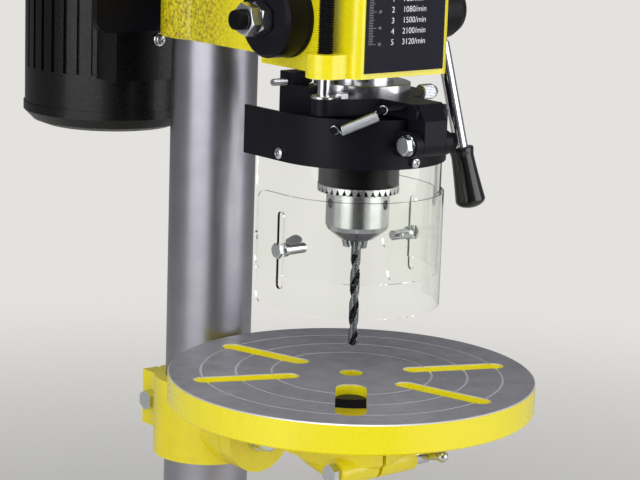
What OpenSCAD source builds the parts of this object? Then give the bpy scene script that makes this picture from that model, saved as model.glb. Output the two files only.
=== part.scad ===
// Benchtop drill press: round tilting table, five step belt drive, chuck guard and depth stop rod.
// Millimetres, +Z up, front towards -Y. The origin is the centre of the bench bolt pattern.

/* [Layout] */
// Spindle axis to column axis
throat = 157; // [154:0.5:175]
// Column axis behind the centre of the bench bolt pattern
column_y = 112; // [104:1:118]
// Underside of the head down to the chuck's toothed ring
chuck_drop = 75; // [74:0.5:84]
// Toothed ring down to the table's working face
table_drop = 125; // [122:1:150]

/* [Fits] */
// Radial clearance of pieces that are clamped or pressed together
seat_fit = 0.02; // [0.01:0.01:0.03]
// Radial clearance of pieces that turn or slide in each other
run_fit = 0.05; // [0.03:0.01:0.08]
// Gap beside pieces that pass each other
side_gap = 0.4; // [0.3:0.05:0.6]

/* [Base] */
// Width of the base
base_w = 215; // [205:1:250]
// Depth of the base
base_d = 360; // [352:1:400]
// Height of the base at its edge
base_h = 28; // [24:0.5:36]
// Corner radius of the base
base_corner = 22; // [14:1:30]
// Thickness of the base's top and walls
base_wall = 9; // [7:0.5:11]
// Bench bolts, spacing across
bolt_span_x = 165; // [150:1:170]
// Bench bolts, spacing front to back
bolt_span_y = 305; // [290:1:310]
// Bench bolt hole diameter
bench_hole = 11; // [9:0.5:13]
// Length of the two clamping slots
base_slot_l = 120; // [80:1:130]
// Width of the two clamping slots
base_slot_w = 14; // [10:0.5:16]

/* [Column] */
// Outside diameter of the column
column_d = 60; // [56:0.5:62]
// Wall of the column tube
column_wall = 4; // [3:0.25:6]
// Length of the column tube
column_l = 584; // [559:1:629]
// Bolt circle to the flange's edge
flange_edge = 11; // [9:0.5:12]
// Height of the column flange above its seat
flange_h = 42; // [34:1:44]
// Thickness of the flange plate
flange_t = 13; // [10:0.5:16]
// Thread size of the flange bolts
flange_bolt = 10; // [8:1:10]

/* [Head] */
// Width of the head beside the quill
head_w = 78; // [76:0.5:84]
// Spindle axis forward to the label face
head_front = 39; // [37:0.5:42]
// Height of the head casting
head_h = 145; // [142:1:160]
// Corner radius at the front of the head
head_corner = 6; // [3:0.5:6.5]
// Width of the deck that carries the belt cover
deck_w = 118; // [112:1:130]
// Thickness of the deck
deck_t = 12; // [10:0.5:14]
// Outside diameter of the clamp boss round the column
boss_d = 76; // [74:0.5:84]
// How far the boss and the neck stop above the head's underside
boss_rise = 5; // [2:0.5:12]
// Label plate width
label_w = 65; // [50:0.5:68]
// Label plate height
label_h = 82; // [60:1:84]

/* [Quill and spindle] */
// Outside diameter of the quill
quill_d = 42; // [40:0.5:43]
// Length of the quill
quill_l = 150; // [148:1:152]
// Travel of the quill
stroke = 50; // [40:1:50]
// Diameter of the spindle in its bearings
spindle_d = 17; // [15:0.5:18]
// Bearing outside diameter
bearing_d = 32; // [30:0.5:33]
// Bearing width
bearing_w = 10; // [8:0.5:11]
// Rack module, the pitch divided by pi
rack_module = 1.25; // [1.2:0.01:1.3]
// Teeth on the feed pinion
pinion_teeth = 14; // [13:1:14]

/* [Chuck] */
// Diameter over the toothed ring
ring_d = 53; // [51:0.5:56]
// Teeth on the ring
ring_teeth = 36; // [30:1:38]
// Diameter of the polished chuck body
chuck_d = 41; // [40:0.5:43]
// Length of the straight part of the chuck body below the ring
chuck_l = 26; // [24:0.5:29]
// Height of the black sleeve above the ring
sleeve_h = 23.5; // [22:0.5:24.5]
// Drill diameter
drill_d = 6.35; // [5:0.05:8]
// Toothed ring down to the drill's tip
drill_reach = 107; // [90:1:116]
// Slant of the chuck jaws
jaw_slant = 13; // [11:0.5:14]

/* [Feed levers] */
// Hub diameter
hub_d = 38; // [34:0.5:42]
// Hub length
hub_l = 27; // [24:0.5:32]
// Lever rod diameter
lever_d = 9.5; // [8:0.25:11]
// Pinion axis to the tip of a lever knob
lever_l = 135; // [120:1:150]
// Outward lean of the levers
lever_lean = 8; // [4:0.5:10]
// Knob length
knob_l = 42; // [34:0.5:48]
// Spring cup diameter
cup_d = 50; // [46:0.5:52]
// Spring cup length
cup_l = 20; // [18:0.5:24]

/* [Depth stop] */
// Depth rod, sideways from the spindle axis
rod_x = 48; // [47.6:0.1:49]
// Depth rod, forward of the spindle axis
rod_y = 20; // [18:0.5:21]
// Thread diameter of the depth rod
rod_d = 10; // [8:0.5:10]
// Length of the depth rod
rod_l = 134; // [122:1:140]

/* [Chuck guard] */
// Radius of the guard band
guard_r = 58; // [57.6:0.1:60]
// Sideways shift of the guard from the spindle axis
guard_shift = 3.4; // [2.8:0.1:4.2]
// Height of the black band
band_h = 31; // [28:0.5:31]
// Thickness of the black band
band_t = 2.3; // [2:0.1:2.4]
// How far the band's sides run behind the spindle axis
band_back = 42.5; // [38:0.5:48]
// Thickness of the clear sheets
sheet_t = 2; // [1.6:0.1:2.2]
// Height of the sliding sheet
sheet_h = 74; // [68:1:78]
// How far the sheets run behind the spindle axis
sheet_back = 27; // [22:1:32]
// Thickness of the collar on the quill
collar_h = 32; // [31:0.5:32.5]
// Wire of the guard spring
spring_wire = 0.9; // [0.8:0.05:0.95]
// Coil diameter of the guard spring, over the wire
spring_d = 7; // [6:0.25:7.5]
// Turns of the guard spring
spring_turns = 18; // [12:1:18]

/* [Table] */
// Table diameter
table_d = 241; // [230:1:244]
// Table plate thickness
table_t = 7; // [6:0.25:8]
// Height of the table's rim
rim_h = 19.5; // [17:0.5:22]
// Width of the rim
rim_w = 9; // [6:0.5:12]
// Width of the four narrow slots
slot_w = 14; // [10:0.5:16]
// Width of the wide slot
wide_slot_w = 20; // [16:0.5:22]
// Centre hole in the table
centre_hole = 16; // [13:0.5:17]
// Stem diameter under the table
stem_d = 32; // [30:0.5:34]
// Tilt axis below the table's working face
tilt_drop = 66; // [64:1:72]
// Radius of the tilt discs
tilt_r = 27; // [24:0.5:28]
// Outside diameter of the bracket on the column
bracket_d = 76; // [74:0.5:77]
// Height of the bracket on the column
bracket_h = 56; // [50:1:60]
// Turn of the four narrow slots from the front
slot_turn = -49; // [-80:1:80]
// Turn of the wide slot from the front
wide_turn = -40.5; // [-52:0.5:-36]

/* [Belt drive] */
// Sum of the two pulley diameters on each step
pulley_sum = 155; // [148:1:158]
// Height of one pulley step
step_h = 11; // [10.5:0.25:12]
// Motor speed over spindle speed, lowest step first
speed_ratios = [2.40, 1.60, 1.15, 0.82, 0.553];
// Motor radius
motor_r = 62; // [56:0.5:64]
// Motor length
motor_l = 184; // [168:1:188]
// Radius of the belt cover's ends
cover_r = 78; // [76:0.5:86]
// Sheet thickness of the belt cover
cover_t = 1.6; // [1.2:0.1:2]

/* [Hidden] */
$fn = 64;

// Main heights and axes: the base carries the column, and the head hangs from the column's end
seat_h = 6;
seat_z = base_h + seat_h;
column_top = seat_z + column_l;
column_gap = 22;
head_top = column_top + column_gap;
head_z = head_top - head_h;
spindle_y = column_y - throat;
ring_z = head_z - chuck_drop;
table_z = ring_z - table_drop;
column_r = column_d / 2;
quill_r = quill_d / 2;
spindle_r = spindle_d / 2;
past = 1;

// Base and column foot
bolt_boss_r = bench_hole / 2 + 9;
rib_t = 7;
base_slot_x = 46;
base_slot_y = -(base_d / 2 - base_slot_l / 2 - 46);
flange_neck_r = column_r + 9;
flange_bolt_ring = flange_neck_r + 2.5 + flange_bolt * 0.95;
flange_r = flange_bolt_ring + flange_edge;
seat_r = flange_r + 2;

// Head
head_half = head_w / 2;
deck_z = head_top - deck_t;
boss_r = boss_d / 2;
boss_z = head_z + boss_rise;
neck_half = 34;
front_y = spindle_y - head_front;
block_back = 55;
label_t = 0.7;
label_lift = 3.5;
set_screw_r = 5;
quill_bore_top = head_top - 36;

// Feed pinion and rack
pitch_r = rack_module * pinion_teeth / 2;
rack_sink = 1.3;
pitch_y = quill_r - rack_sink;
pinion_y = spindle_y + pitch_y + pitch_r;
pinion_z = head_z + 32;
tooth_tip = 0.8 * rack_module;
tooth_root = 1.15 * rack_module;
backlash = 0.22;
pressure = 20;
rack_half = 6.5;
pinion_half = rack_half - 0.3;
journal_x = 13;
journal_r = pitch_r + 1.9;
tail_r = 8;
stud_r = 6;
pinion_boss_r = journal_r + 8.5;
pinion_boss_x = head_half + 36;
hub_x = pinion_boss_x + side_gap;
nut_af = 19;
nut_t = 8;
cup_x = -head_half - cup_l;
cup_wall = 2;
stud_x = cup_x - 2 * nut_t - 7;
lever_phase = -10;
lever_x = hub_x + hub_l * 0.45;
knob_neck_r = lever_d / 2 + 2.4;
knob_end_r = knob_neck_r + 3;

// Quill and spindle
quill_z = ring_z + 31;
quill_top = quill_z + quill_l;
ring_flange_r = 31;
ring_flange_h = 8.8;
bearing_r = bearing_d / 2;
quill_bore_r = spindle_r + 3;
spline_r = spindle_r - 1.8;
spline_key = 3;
spline_key_r = spline_r + 1.3;
sleeve_r = spline_key_r + 3.2;
deck_bearing_r = sleeve_r + 9;
deck_bearing_w = 12;

// Chuck
chuck_r = chuck_d / 2;
chuck_core_r = 14;
nose_r = 9.4;
nose_h = 7;
chuck_bottom = ring_z - 2 - chuck_l - nose_h;
jaw_r = 3.3;
jaw_tip_z = chuck_bottom - 5;
jaw_l = 42;
jaw_axis = drill_d / 2 + 2;
ring_low = ring_z - 3.4;
ring_h = 5;
sleeve_top = ring_low + ring_h + sleeve_h;
sleeve_cave_r = 22;
sleeve_out_r = ring_d / 2 - 0.4;
chuck_top = sleeve_top + 1.2;
shank_top = jaw_tip_z + 24;
key_hole_r = 3.2;

// Collar, depth stop and guard
band_z = ring_z + 20;
collar_z = head_z - 13 - collar_h;
collar_top = collar_z + collar_h;
collar_r = 40;
collar_side = 44;
collar_rear = spindle_y + 29;
rod_boss_r = 7.6;
rod_boss_z = band_z + band_h + 1;
rod_seat_z = rod_boss_z + 2;
lug_t = 15;
lug_r = 12;
lug_z = head_z;
stop_nut_af = 14;
stop_nut_t = 8;
stop_nut_z = lug_z + lug_t + stroke + 5;
guard_x = -guard_shift;
band_in = guard_r - band_t;
hinge_y = spindle_y - guard_r - 9;
hinge_z = band_z + 17;
hinge_r = 8;
hinge_pin_r = 3;
knuckle_w = 18;
ear_w = 5.6;
inner_r = band_in - 0.1;
inner_top = collar_z - 0.9;
inner_low = band_z - 73;
outer_low = ring_z - 75;
outer_r = guard_r - 0.3;
outer_in = outer_r - sheet_t;
wing_z = outer_low + sheet_h / 2 + 1;
wing_y = spindle_y + 3;
wing_in = 12;
wing_slot = 50;
wing_r = 2.5;
screw_z = band_z + 5;
screw_back = 5;
screw_front = -1.5;
post_r = 1.6;
band_post = [guard_x - 49.4, spindle_y - 37.2, band_z + 25];
arm_face = guard_x - knuckle_w / 2 - 3;
arm_post = [guard_x - 28.4, hinge_y + 7, collar_top - 3];

// Table, arm and bracket
table_r = table_d / 2;
plate_z = table_z - table_t;
groove_w = 1.6;
groove_t = 0.8;
slot_in = 36;
slot_out = table_r - 14;
wide_in = 28;
wide_out = table_r - 19;
stem_r = stem_d / 2;
stem_flange_r = 40;
stem_flange_t = 6;
arm_top = plate_z - stem_flange_t;
tilt_z = table_z - tilt_drop;
arm_low = tilt_z - 3;
arm_hub_r = 36;
arm_cone_h = 15;
bracket_r = bracket_d / 2;
bracket_z = tilt_z - tilt_r;
tilt_face = column_y - bracket_r - 12;
tilt_t = 13;
tilt_bolt_r = 6;
clamp_bolt_r = 4;
clamp_y = column_y + bracket_r + 10;
clamp_z = bracket_z + bracket_h / 2;
lock_y = spindle_y - stem_r - 8.5;
lock_z = arm_low + 12;
lock_half = 32;
lock_boss_r = 8.5;
split_w = 3;

// Belt drive
plate_y = column_y + boss_r + 15;
plate_t = 6;
plate_h = 136;
plate_drop = 52;
plate_over = 32;
plate_corner = 10;
motor_y = plate_y + plate_t + 8 + motor_r;
motor_z = head_top - 34 - motor_l;
rod_half = 47;
slide_rod_r = 8;
slide_rod_in = 22;
slide_hole_in = 36;
slide_boss_r = slide_rod_r + 4;
slide_z = deck_z - slide_boss_r + 2;
motor_shaft_r = 8;
sleeve_bore_low = 60;
sleeve_bore_l = 140;
steps = len(speed_ratios);
pan_z = head_top;
pan_h = 11;
lid_z = pan_z + pan_h + side_gap;
pulley_z = pan_z + 8;
lid_h = 8 + steps * step_h + 7 - pan_h;
groove_depth = 6.5;
belt_step = 2;
belt_w = 7.2;
belt_t = 5.2;
belt_taper = 1.76;
lid_round = 14;
hinge_knuckle_r = 4.2;
cover_pin_r = 2;
cover_hinge_x = -cover_r - hinge_knuckle_r - side_gap;
cover_hinge_z = lid_z;

function spindle_step_r(i) = pulley_sum / 2 * speed_ratios[i] / (1 + speed_ratios[i]);
function motor_step_r(i) = pulley_sum / 2 - spindle_step_r(i);

// A round bar along X from x0 to x1
module bar_x(r, x0, x1) {
  translate([x0, 0, 0]) rotate([0, 90, 0]) cylinder(r = r, h = x1 - x0);
}

// A round bar along Y from y0 to y1
module bar_y(r, y0, y1) {
  translate([0, y0, 0]) rotate([-90, 0, 0]) cylinder(r = r, h = y1 - y0);
}

// A hexagonal prism across flats
module hex(af, h) {
  cylinder(d = af / cos(30), h = h, $fn = 6);
}

// A plate with rounded upright corners, centred in plan
module rounded_plate(w, d, h, r) {
  translate([-w / 2 + r, -d / 2, 0]) cube([w - 2 * r, d, h]);
  translate([-w / 2, -d / 2 + r, 0]) cube([w, d - 2 * r, h]);
  for (sx = [-1, 1], sy = [-1, 1])
    translate([sx * (w / 2 - r), sy * (d / 2 - r), 0]) cylinder(r = r, h = h);
}

// A slot with round ends along Y, centred
module slot_y(w, l, h) {
  translate([-w / 2, -l / 2 + w / 2, 0]) cube([w, l - w, h]);
  for (s = [-1, 1]) translate([0, s * (l - w) / 2, 0]) cylinder(d = w, h = h);
}

// BASE AND COLUMN

module bench_bolts_at() {
  for (sx = [-1, 1], sy = [-1, 1])
    translate([sx * bolt_span_x / 2, sy * bolt_span_y / 2, 0]) children();
}

module flange_bolts_at() {
  for (a = [45:90:315])
    translate([0, column_y, 0]) rotate(a) translate([flange_bolt_ring, 0, 0]) children();
}

module base_cavity() {
  rounded_plate(base_w - 2 * base_wall, base_d - 2 * base_wall, base_h - base_wall + past,
                base_corner - base_wall / 2);
}

module base() {
  color("#f2d81c") difference() {
    union() {
      difference() {
        rounded_plate(base_w, base_d, base_h, base_corner);
        translate([0, 0, -past]) base_cavity();
      }
      bench_bolts_at() cylinder(r = bolt_boss_r, h = base_h);
      for (s = [-1, 1])
        translate([s * base_slot_x - base_slot_w / 2 - rib_t, base_slot_y - base_slot_l / 2 - rib_t, 4])
          cube([base_slot_w + 2 * rib_t, base_slot_l + 2 * rib_t, base_h - 4]);
      translate([-base_w / 2 + past, column_y - flange_r - rib_t, 4])
        cube([base_w - 2 * past, rib_t, base_h - 4]);
      translate([-rib_t / 2, -base_d / 2 + past, 4]) cube([rib_t, base_d - 2 * past, base_h - 4]);
      translate([0, column_y, base_wall]) cylinder(r = seat_r - 2, h = base_h - base_wall);
      translate([0, column_y, base_h]) cylinder(r1 = seat_r, r2 = seat_r - 1, h = seat_h);
    }
    bench_bolts_at() translate([0, 0, -past]) cylinder(d = bench_hole, h = base_h + 2 * past);
    for (s = [-1, 1])
      translate([s * base_slot_x, base_slot_y, -past]) slot_y(base_slot_w, base_slot_l, base_h + 2 * past);
    flange_bolts_at() translate([0, 0, base_wall + 2]) cylinder(r = flange_bolt / 2 + seat_fit, h = seat_z);
  }
}

module column_flange() {
  color("#f2d81c") difference() {
    translate([0, column_y, seat_z]) rotate_extrude() polygon([
      [column_r + seat_fit, 0], [flange_r, 0], [flange_r, flange_t - 2], [flange_r - 2, flange_t],
      [flange_neck_r + 2, flange_t], [flange_neck_r, flange_t + 6], [flange_neck_r - 1, flange_h - 2],
      [flange_neck_r - 3, flange_h], [column_r + seat_fit, flange_h]
    ]);
    flange_bolts_at() translate([0, 0, seat_z - past])
      cylinder(r = flange_bolt / 2 + seat_fit, h = flange_t + 2 * past);
  }
}

module flange_bolts() {
  color("#c9ccd0") flange_bolts_at() {
    translate([0, 0, base_wall + 4]) cylinder(d = flange_bolt, h = seat_z + flange_t - base_wall - 4);
    translate([0, 0, seat_z + flange_t]) hex(flange_bolt * 1.6, flange_bolt * 0.64);
  }
}

module column() {
  color("#a9adb2") translate([0, column_y, seat_z]) difference() {
    cylinder(d = column_d, h = column_top - seat_z);
    translate([0, 0, -past]) cylinder(r = column_r - column_wall, h = column_top - seat_z + 2 * past);
  }
}

// HEAD

module head_block() {
  depth = head_front + block_back;
  translate([0, spindle_y, head_z]) {
    translate([-head_half, -head_front + head_corner, 0]) cube([head_w, depth - head_corner, head_h]);
    translate([-head_half + head_corner, -head_front, 0])
      cube([head_w - 2 * head_corner, head_corner + past, head_h]);
    for (s = [-1, 1])
      translate([s * (head_half - head_corner), -head_front + head_corner, 0])
        cylinder(r = head_corner, h = head_h);
  }
}

module deck() {
  d = column_y + boss_r - front_y;
  translate([0, front_y + d / 2, deck_z]) rounded_plate(deck_w, d, deck_t, 12);
}

module rod_lug() {
  translate([-rod_x, spindle_y - rod_y, lug_z]) cylinder(r = lug_r, h = lug_t);
  translate([-rod_x, spindle_y - rod_y - lug_r, lug_z]) cube([rod_x - head_half + past, 2 * lug_r, lug_t]);
}

module slide_bosses() {
  for (s = [-1, 1]) translate([s * rod_half, 0, slide_z]) {
    bar_y(slide_boss_r, column_y - 40, column_y + boss_r);
    translate([-slide_boss_r, column_y - 40, 0]) cube([2 * slide_boss_r, 40 + boss_r, slide_boss_r]);
  }
}

module set_screws_at() {
  for (dz = [28, 92]) translate([0, column_y, boss_z + dz]) children();
}

module head_casting() {
  color("#f2d81c") difference() {
    union() {
      head_block();
      deck();
      translate([-neck_half, spindle_y, boss_z]) cube([2 * neck_half, throat, head_top - boss_z]);
      translate([0, column_y, boss_z]) cylinder(r = boss_r, h = head_top - boss_z);
      translate([0, pinion_y, pinion_z]) bar_x(pinion_boss_r, head_half - past, pinion_boss_x);
      set_screws_at() bar_x(set_screw_r + 4, column_r + 4, boss_r + 4);
      rod_lug();
      slide_bosses();
    }
    translate([0, column_y, boss_z - past]) cylinder(r = column_r + seat_fit, h = column_top - boss_z + past);
    translate([0, spindle_y, head_z - past])
      cylinder(r = quill_r + run_fit, h = quill_bore_top - head_z + past);
    translate([0, spindle_y, quill_bore_top - past])
      cylinder(r = sleeve_r + 4, h = head_top - quill_bore_top + 2 * past);
    translate([0, spindle_y, head_top - 2 * deck_bearing_w])
      cylinder(r = deck_bearing_r + seat_fit, h = 2 * deck_bearing_w + past);
    translate([0, pinion_y, pinion_z]) {
      bar_x(journal_r + run_fit, -journal_x, pinion_boss_x + past);
      bar_x(tail_r + run_fit, -head_half - past, 0);
    }
    translate([-rod_x, spindle_y - rod_y, lug_z - past]) cylinder(r = rod_d / 2 + 0.4, h = lug_t + 2 * past);
    set_screws_at() bar_x(set_screw_r + seat_fit, column_r - past, boss_r + 6);
    for (s = [-1, 1]) translate([s * rod_half, 0, slide_z])
      bar_y(slide_rod_r + run_fit, column_y - slide_hole_in, column_y + boss_r + past);
    translate([-switch_w / 2 + 4, front_y - past, switch_z + 4])
      cube([switch_w - 8, switch_pocket + past, switch_h - 8]);
  }
}

module head_set_screws() {
  color("#2a2a2c") set_screws_at() difference() {
    bar_x(set_screw_r, column_r + side_gap, boss_r + 5);
    bar_x(2.6, boss_r + 1, boss_r + 6, $fn = 6);
  }
}

module label_panel() {
  color("#1d1d24") translate([-label_w / 2, front_y - label_t, head_z + label_lift])
    cube([label_w, label_t, label_h]);
}

// SWITCH

switch_w = 38;
switch_h = 44;
switch_t = 3;
switch_pocket = 7;
switch_z = head_z + label_lift + label_h + 6;
rocker_w = 18;
rocker_h = 26;
rocker_swing = 1;
rocker_mid = switch_z + switch_h / 2;

module switch_plate() {
  color("#17171a") difference() {
    union() {
      translate([-switch_w / 2, front_y - switch_t, switch_z]) cube([switch_w, switch_t, switch_h]);
      translate([-switch_w / 2 + 4.2, front_y - past, switch_z + 4.2])
        cube([switch_w - 8.4, switch_pocket + past - 0.3, switch_h - 8.4]);
    }
    translate([-rocker_w / 2 - side_gap, front_y - switch_t - past, rocker_mid - rocker_h / 2 - rocker_swing])
      cube([rocker_w + 2 * side_gap, switch_t + switch_pocket - 0.6, rocker_h + 2 * rocker_swing]);
    translate([0, front_y, rocker_mid]) bar_x(1.5 + run_fit, -rocker_w / 2 - 3, rocker_w / 2 + 3);
  }
}

module switch_rocker() {
  color("#b3161b") translate([0, front_y, rocker_mid]) {
    bar_x(1.5, -rocker_w / 2 - 2.6, rocker_w / 2 + 2.6);
    difference() {
      translate([-rocker_w / 2, -switch_t - 2.2, -rocker_h / 2]) cube([rocker_w, switch_t + 4, rocker_h]);
      translate([0, -switch_t - 46, 0]) bar_x(45, -rocker_w, rocker_w);
      for (s = [-1, 1]) translate([-rocker_w, 1, s * 4]) rotate([s * 14, 0, 0])
        translate([0, 0, s > 0 ? 0 : -rocker_h]) cube([2 * rocker_w, 6, rocker_h]);
    }
  }
}

// MOTOR AND BELT DRIVE

module motor_plate() {
  color("#232326") difference() {
    translate([0, plate_y + plate_t, slide_z - plate_drop]) rotate([90, 0, 0])
      rounded_plate(2 * rod_half + plate_over, plate_h, plate_t, plate_corner);
    for (s = [-1, 1]) translate([s * rod_half, 0, slide_z])
      bar_y(slide_rod_r - 2 + seat_fit, plate_y - past, plate_y + plate_t + past);
  }
}

module motor_slide_rods() {
  color("#b9bcc0") for (s = [-1, 1]) translate([s * rod_half, 0, slide_z]) {
    bar_y(slide_rod_r, column_y - slide_rod_in, plate_y);
    bar_y(slide_rod_r - 2, plate_y - past, plate_y + plate_t + 1);
  }
}

motor_cap_h = 16;
foot_w = 84;

module motor_housing() {
  fins = 36;
  color("#161618") {
    difference() {
      translate([0, motor_y, motor_z + motor_cap_h]) cylinder(r = motor_r, h = motor_l - 2 * motor_cap_h);
      for (i = [0:fins - 1])
        translate([0, motor_y, motor_z + motor_cap_h + 26]) rotate((i + 0.5) * 360 / fins)
        translate([motor_r - 2.5, -1.6, 0]) cube([5, 3.2, motor_l - 2 * motor_cap_h - 52]);
    }
    translate([-foot_w / 2, plate_y + plate_t, motor_z + 40])
      cube([foot_w, motor_y - plate_y - plate_t - 44, motor_l - 74]);
  }
}

module motor_end_caps() {
  color("#1c1c1f") translate([0, motor_y, motor_z]) {
    rotate_extrude() polygon([
      [0, 0], [motor_r - 14, 0], [motor_r - 6, 3], [motor_r + 1, 10], [motor_r + 1, motor_cap_h],
      [0, motor_cap_h]
    ]);
    translate([0, 0, motor_l]) mirror([0, 0, 1]) rotate_extrude() polygon([
      [motor_shaft_r + run_fit, 0], [motor_r - 14, 0], [motor_r - 6, 3], [motor_r + 1, 10],
      [motor_r + 1, motor_cap_h], [motor_shaft_r + run_fit, motor_cap_h]
    ]);
  }
}

module motor_shaft() {
  color("#c2c5c9") translate([0, motor_y, motor_z + motor_l - motor_cap_h + side_gap])
    cylinder(r = motor_shaft_r, h = motor_cap_h + pulley_z + steps * step_h + 2 - motor_z - motor_l);
}

// Stepped V pulley with its lowest step first, seen from below
module step_pulley(radii, bore_r) {
  rotate_extrude() polygon(concat(
    [[bore_r, 0]],
    [for (i = [0:steps - 1], p = [
      [0, 0.3], [0, 1.2], [-groove_depth, 3.4],
      [-groove_depth, step_h - 3.4], [0, step_h - 1.2], [0, step_h - 0.3]
    ]) [radii[i] + p[0], i * step_h + p[1]]],
    [[bore_r, steps * step_h]]
  ));
}

module spindle_pulley() {
  color("#b4b7bb") translate([0, spindle_y, pulley_z])
    step_pulley([for (i = [0:steps - 1]) spindle_step_r(i)], sleeve_r + seat_fit);
}

module motor_pulley() {
  color("#b4b7bb") translate([0, motor_y, pulley_z])
    step_pulley([for (i = [0:steps - 1]) motor_step_r(i)], motor_shaft_r + seat_fit);
}

module spline_outline(grow) {
  circle(r = spline_r + grow);
  for (a = [0, 90]) rotate(a)
    translate([-spline_key / 2 - grow, -spline_key_r - grow])
      square([spline_key + 2 * grow, 2 * (spline_key_r + grow)]);
}

module pulley_sleeve() {
  color("#8f9398") translate([0, spindle_y, 0]) difference() {
    union() {
      translate([0, 0, head_top - 2 * deck_bearing_w - 4])
        cylinder(r = sleeve_r, h = pulley_z + steps * step_h + 2 * deck_bearing_w + 6 - head_top);
      translate([0, 0, pulley_z - 3]) cylinder(r = sleeve_r + 4, h = 3);
    }
    translate([0, 0, head_top - sleeve_bore_low]) linear_extrude(sleeve_bore_l) spline_outline(run_fit);
  }
}

// Shielded ball bearing ring
module bearing_ring(r_in, r_out, w) {
  rim = (r_out - r_in) * 0.28;
  rotate_extrude() polygon([
    [r_in, 0], [r_in + rim, 0], [r_in + rim, 0.6], [r_out - rim, 0.6], [r_out - rim, 0], [r_out, 0],
    [r_out, w], [r_out - rim, w], [r_out - rim, w - 0.6], [r_in + rim, w - 0.6], [r_in + rim, w], [r_in, w]
  ]);
}

module pulley_bearings() {
  color("#d0d3d6") for (i = [0, 1]) translate([0, spindle_y, head_top - (2 - i) * deck_bearing_w])
    bearing_ring(sleeve_r + run_fit, deck_bearing_r, deck_bearing_w - 0.1);
}

// Belt path: an arc round each pulley, joined by straight runs, as [centre along Y, radius, angle]
function belt_path(span, rs, rm, count) =
  let (lean = asin((rs - rm) / span)) concat(
    [for (i = [0:count]) [span, rm, lean + (180 - 2 * lean) * i / count]],
    [for (i = [0:count]) [0, rs, 180 - lean + (180 + 2 * lean) * i / count]]
  );

// Belt section at one path point: wide outside, narrow inside
function belt_ring(p) = let (wide = belt_w / 2, narrow = belt_w / 2 - belt_taper) [
  for (q = [[0, wide], [0, -wide], [-belt_t, -narrow], [-belt_t, narrow]])
    [(p[1] + q[0]) * cos(p[2]), p[0] + (p[1] + q[0]) * sin(p[2]), q[1]]
];

module v_belt() {
  path = belt_path(motor_y - spindle_y, spindle_step_r(belt_step) - 0.4, motor_step_r(belt_step) - 0.4, 20);
  n = len(path);
  faces = [for (i = [0:n - 1], k = [0:3]) let (a = i * 4 + k, b = i * 4 + (k + 1) % 4, c = (i + 1) % n * 4)
    for (t = [[a, b, c + (k + 1) % 4], [a, c + (k + 1) % 4, c + k]]) t];
  color("#141414") translate([0, spindle_y, pulley_z + (belt_step + 0.5) * step_h])
    polyhedron(points = [for (p = path) each belt_ring(p)], faces = faces);
}

// BELT COVER

// Square-cornered slab whose outer top corner is rounded
module round_shoulder(w, h, r) {
  square([w - r, h]);
  square([w, h - r]);
  translate([w - r, h - r]) circle(r = r);
}

module lid_section() {
  difference() {
    intersection() {
      round_shoulder(cover_r, lid_h, lid_round);
      square([cover_r, lid_h]);
    }
    translate([-past, -past])
      round_shoulder(cover_r - cover_t + past, lid_h - cover_t + past, lid_round - cover_t);
  }
}

module pan_section() {
  square([cover_r, cover_t]);
  translate([cover_r - cover_t, 0]) square([cover_t, pan_h]);
}

// Carries a half section round both ends and along both sides of the cover
module cover_round() {
  span = motor_y - spindle_y;
  translate([0, spindle_y, 0]) {
    rotate(180) rotate_extrude(angle = 180) children();
    translate([0, span, 0]) rotate_extrude(angle = 180) children();
    for (s = [0, 1]) mirror([s, 0, 0]) translate([0, span, 0]) rotate([90, 0, 0])
      linear_extrude(span) children();
  }
}

module cover_pan_holes() {
  translate([0, spindle_y, pan_z - past]) cylinder(r = sleeve_r + 6, h = cover_t + 2 * past);
  translate([0, motor_y - 8, pan_z - past])
    slot_y(4 * motor_shaft_r, 4 * motor_shaft_r + 26, cover_t + 2 * past);
}

knuckle_l = 24;
knuckle_ys = [30, 150];

// One hinge knuckle along Y that reaches from the barrel to the cover wall
module cover_knuckle(y0, y1, z_low, z_high) {
  translate([cover_hinge_x, 0, cover_hinge_z]) bar_y(hinge_knuckle_r, y0, y1);
  translate([cover_hinge_x, y0, z_low]) cube([-cover_r + 0.8 - cover_hinge_x, y1 - y0, z_high - z_low]);
}

module cover_pan() {
  color("#26262a") difference() {
    union() {
      translate([0, 0, pan_z]) cover_round() pan_section();
      for (y = knuckle_ys)
        cover_knuckle(y, y + knuckle_l, cover_hinge_z - hinge_knuckle_r, cover_hinge_z - side_gap);
    }
    cover_pan_holes();
    translate([cover_hinge_x, 0, cover_hinge_z]) bar_y(cover_pin_r + seat_fit, spindle_y, motor_y);
  }
}

module cover_lid() {
  color("#1b1b1e") difference() {
    union() {
      translate([0, 0, lid_z]) cover_round() lid_section();
      for (y = knuckle_ys)
        cover_knuckle(y + knuckle_l + side_gap, y + 2 * knuckle_l,
                      cover_hinge_z, cover_hinge_z + hinge_knuckle_r);
    }
    translate([cover_hinge_x, 0, cover_hinge_z]) bar_y(cover_pin_r + run_fit, spindle_y, motor_y);
    translate([0, spindle_y - 40, lid_z + lid_h - 6]) cylinder(r = 3 + seat_fit, h = 12);
  }
}

module cover_hinge_pin() {
  color("#b9bcc0") for (y = knuckle_ys) translate([cover_hinge_x, 0, cover_hinge_z])
    bar_y(cover_pin_r, y - 1, y + 2 * knuckle_l + 1);
}

module cover_knob() {
  color("#111113") translate([0, spindle_y - 40, lid_z + lid_h]) {
    rotate_extrude() polygon([[0, 0], [8, 0], [6.5, 4], [11, 9], [11, 13], [8, 15], [0, 16]]);
    translate([0, 0, -cover_t - 3]) cylinder(r = 3, h = 4 + cover_t);
    translate([0, 0, -cover_t - 3.2]) cylinder(r = 6, h = 3.2 - 0.02);
  }
}

// FEED

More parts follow.
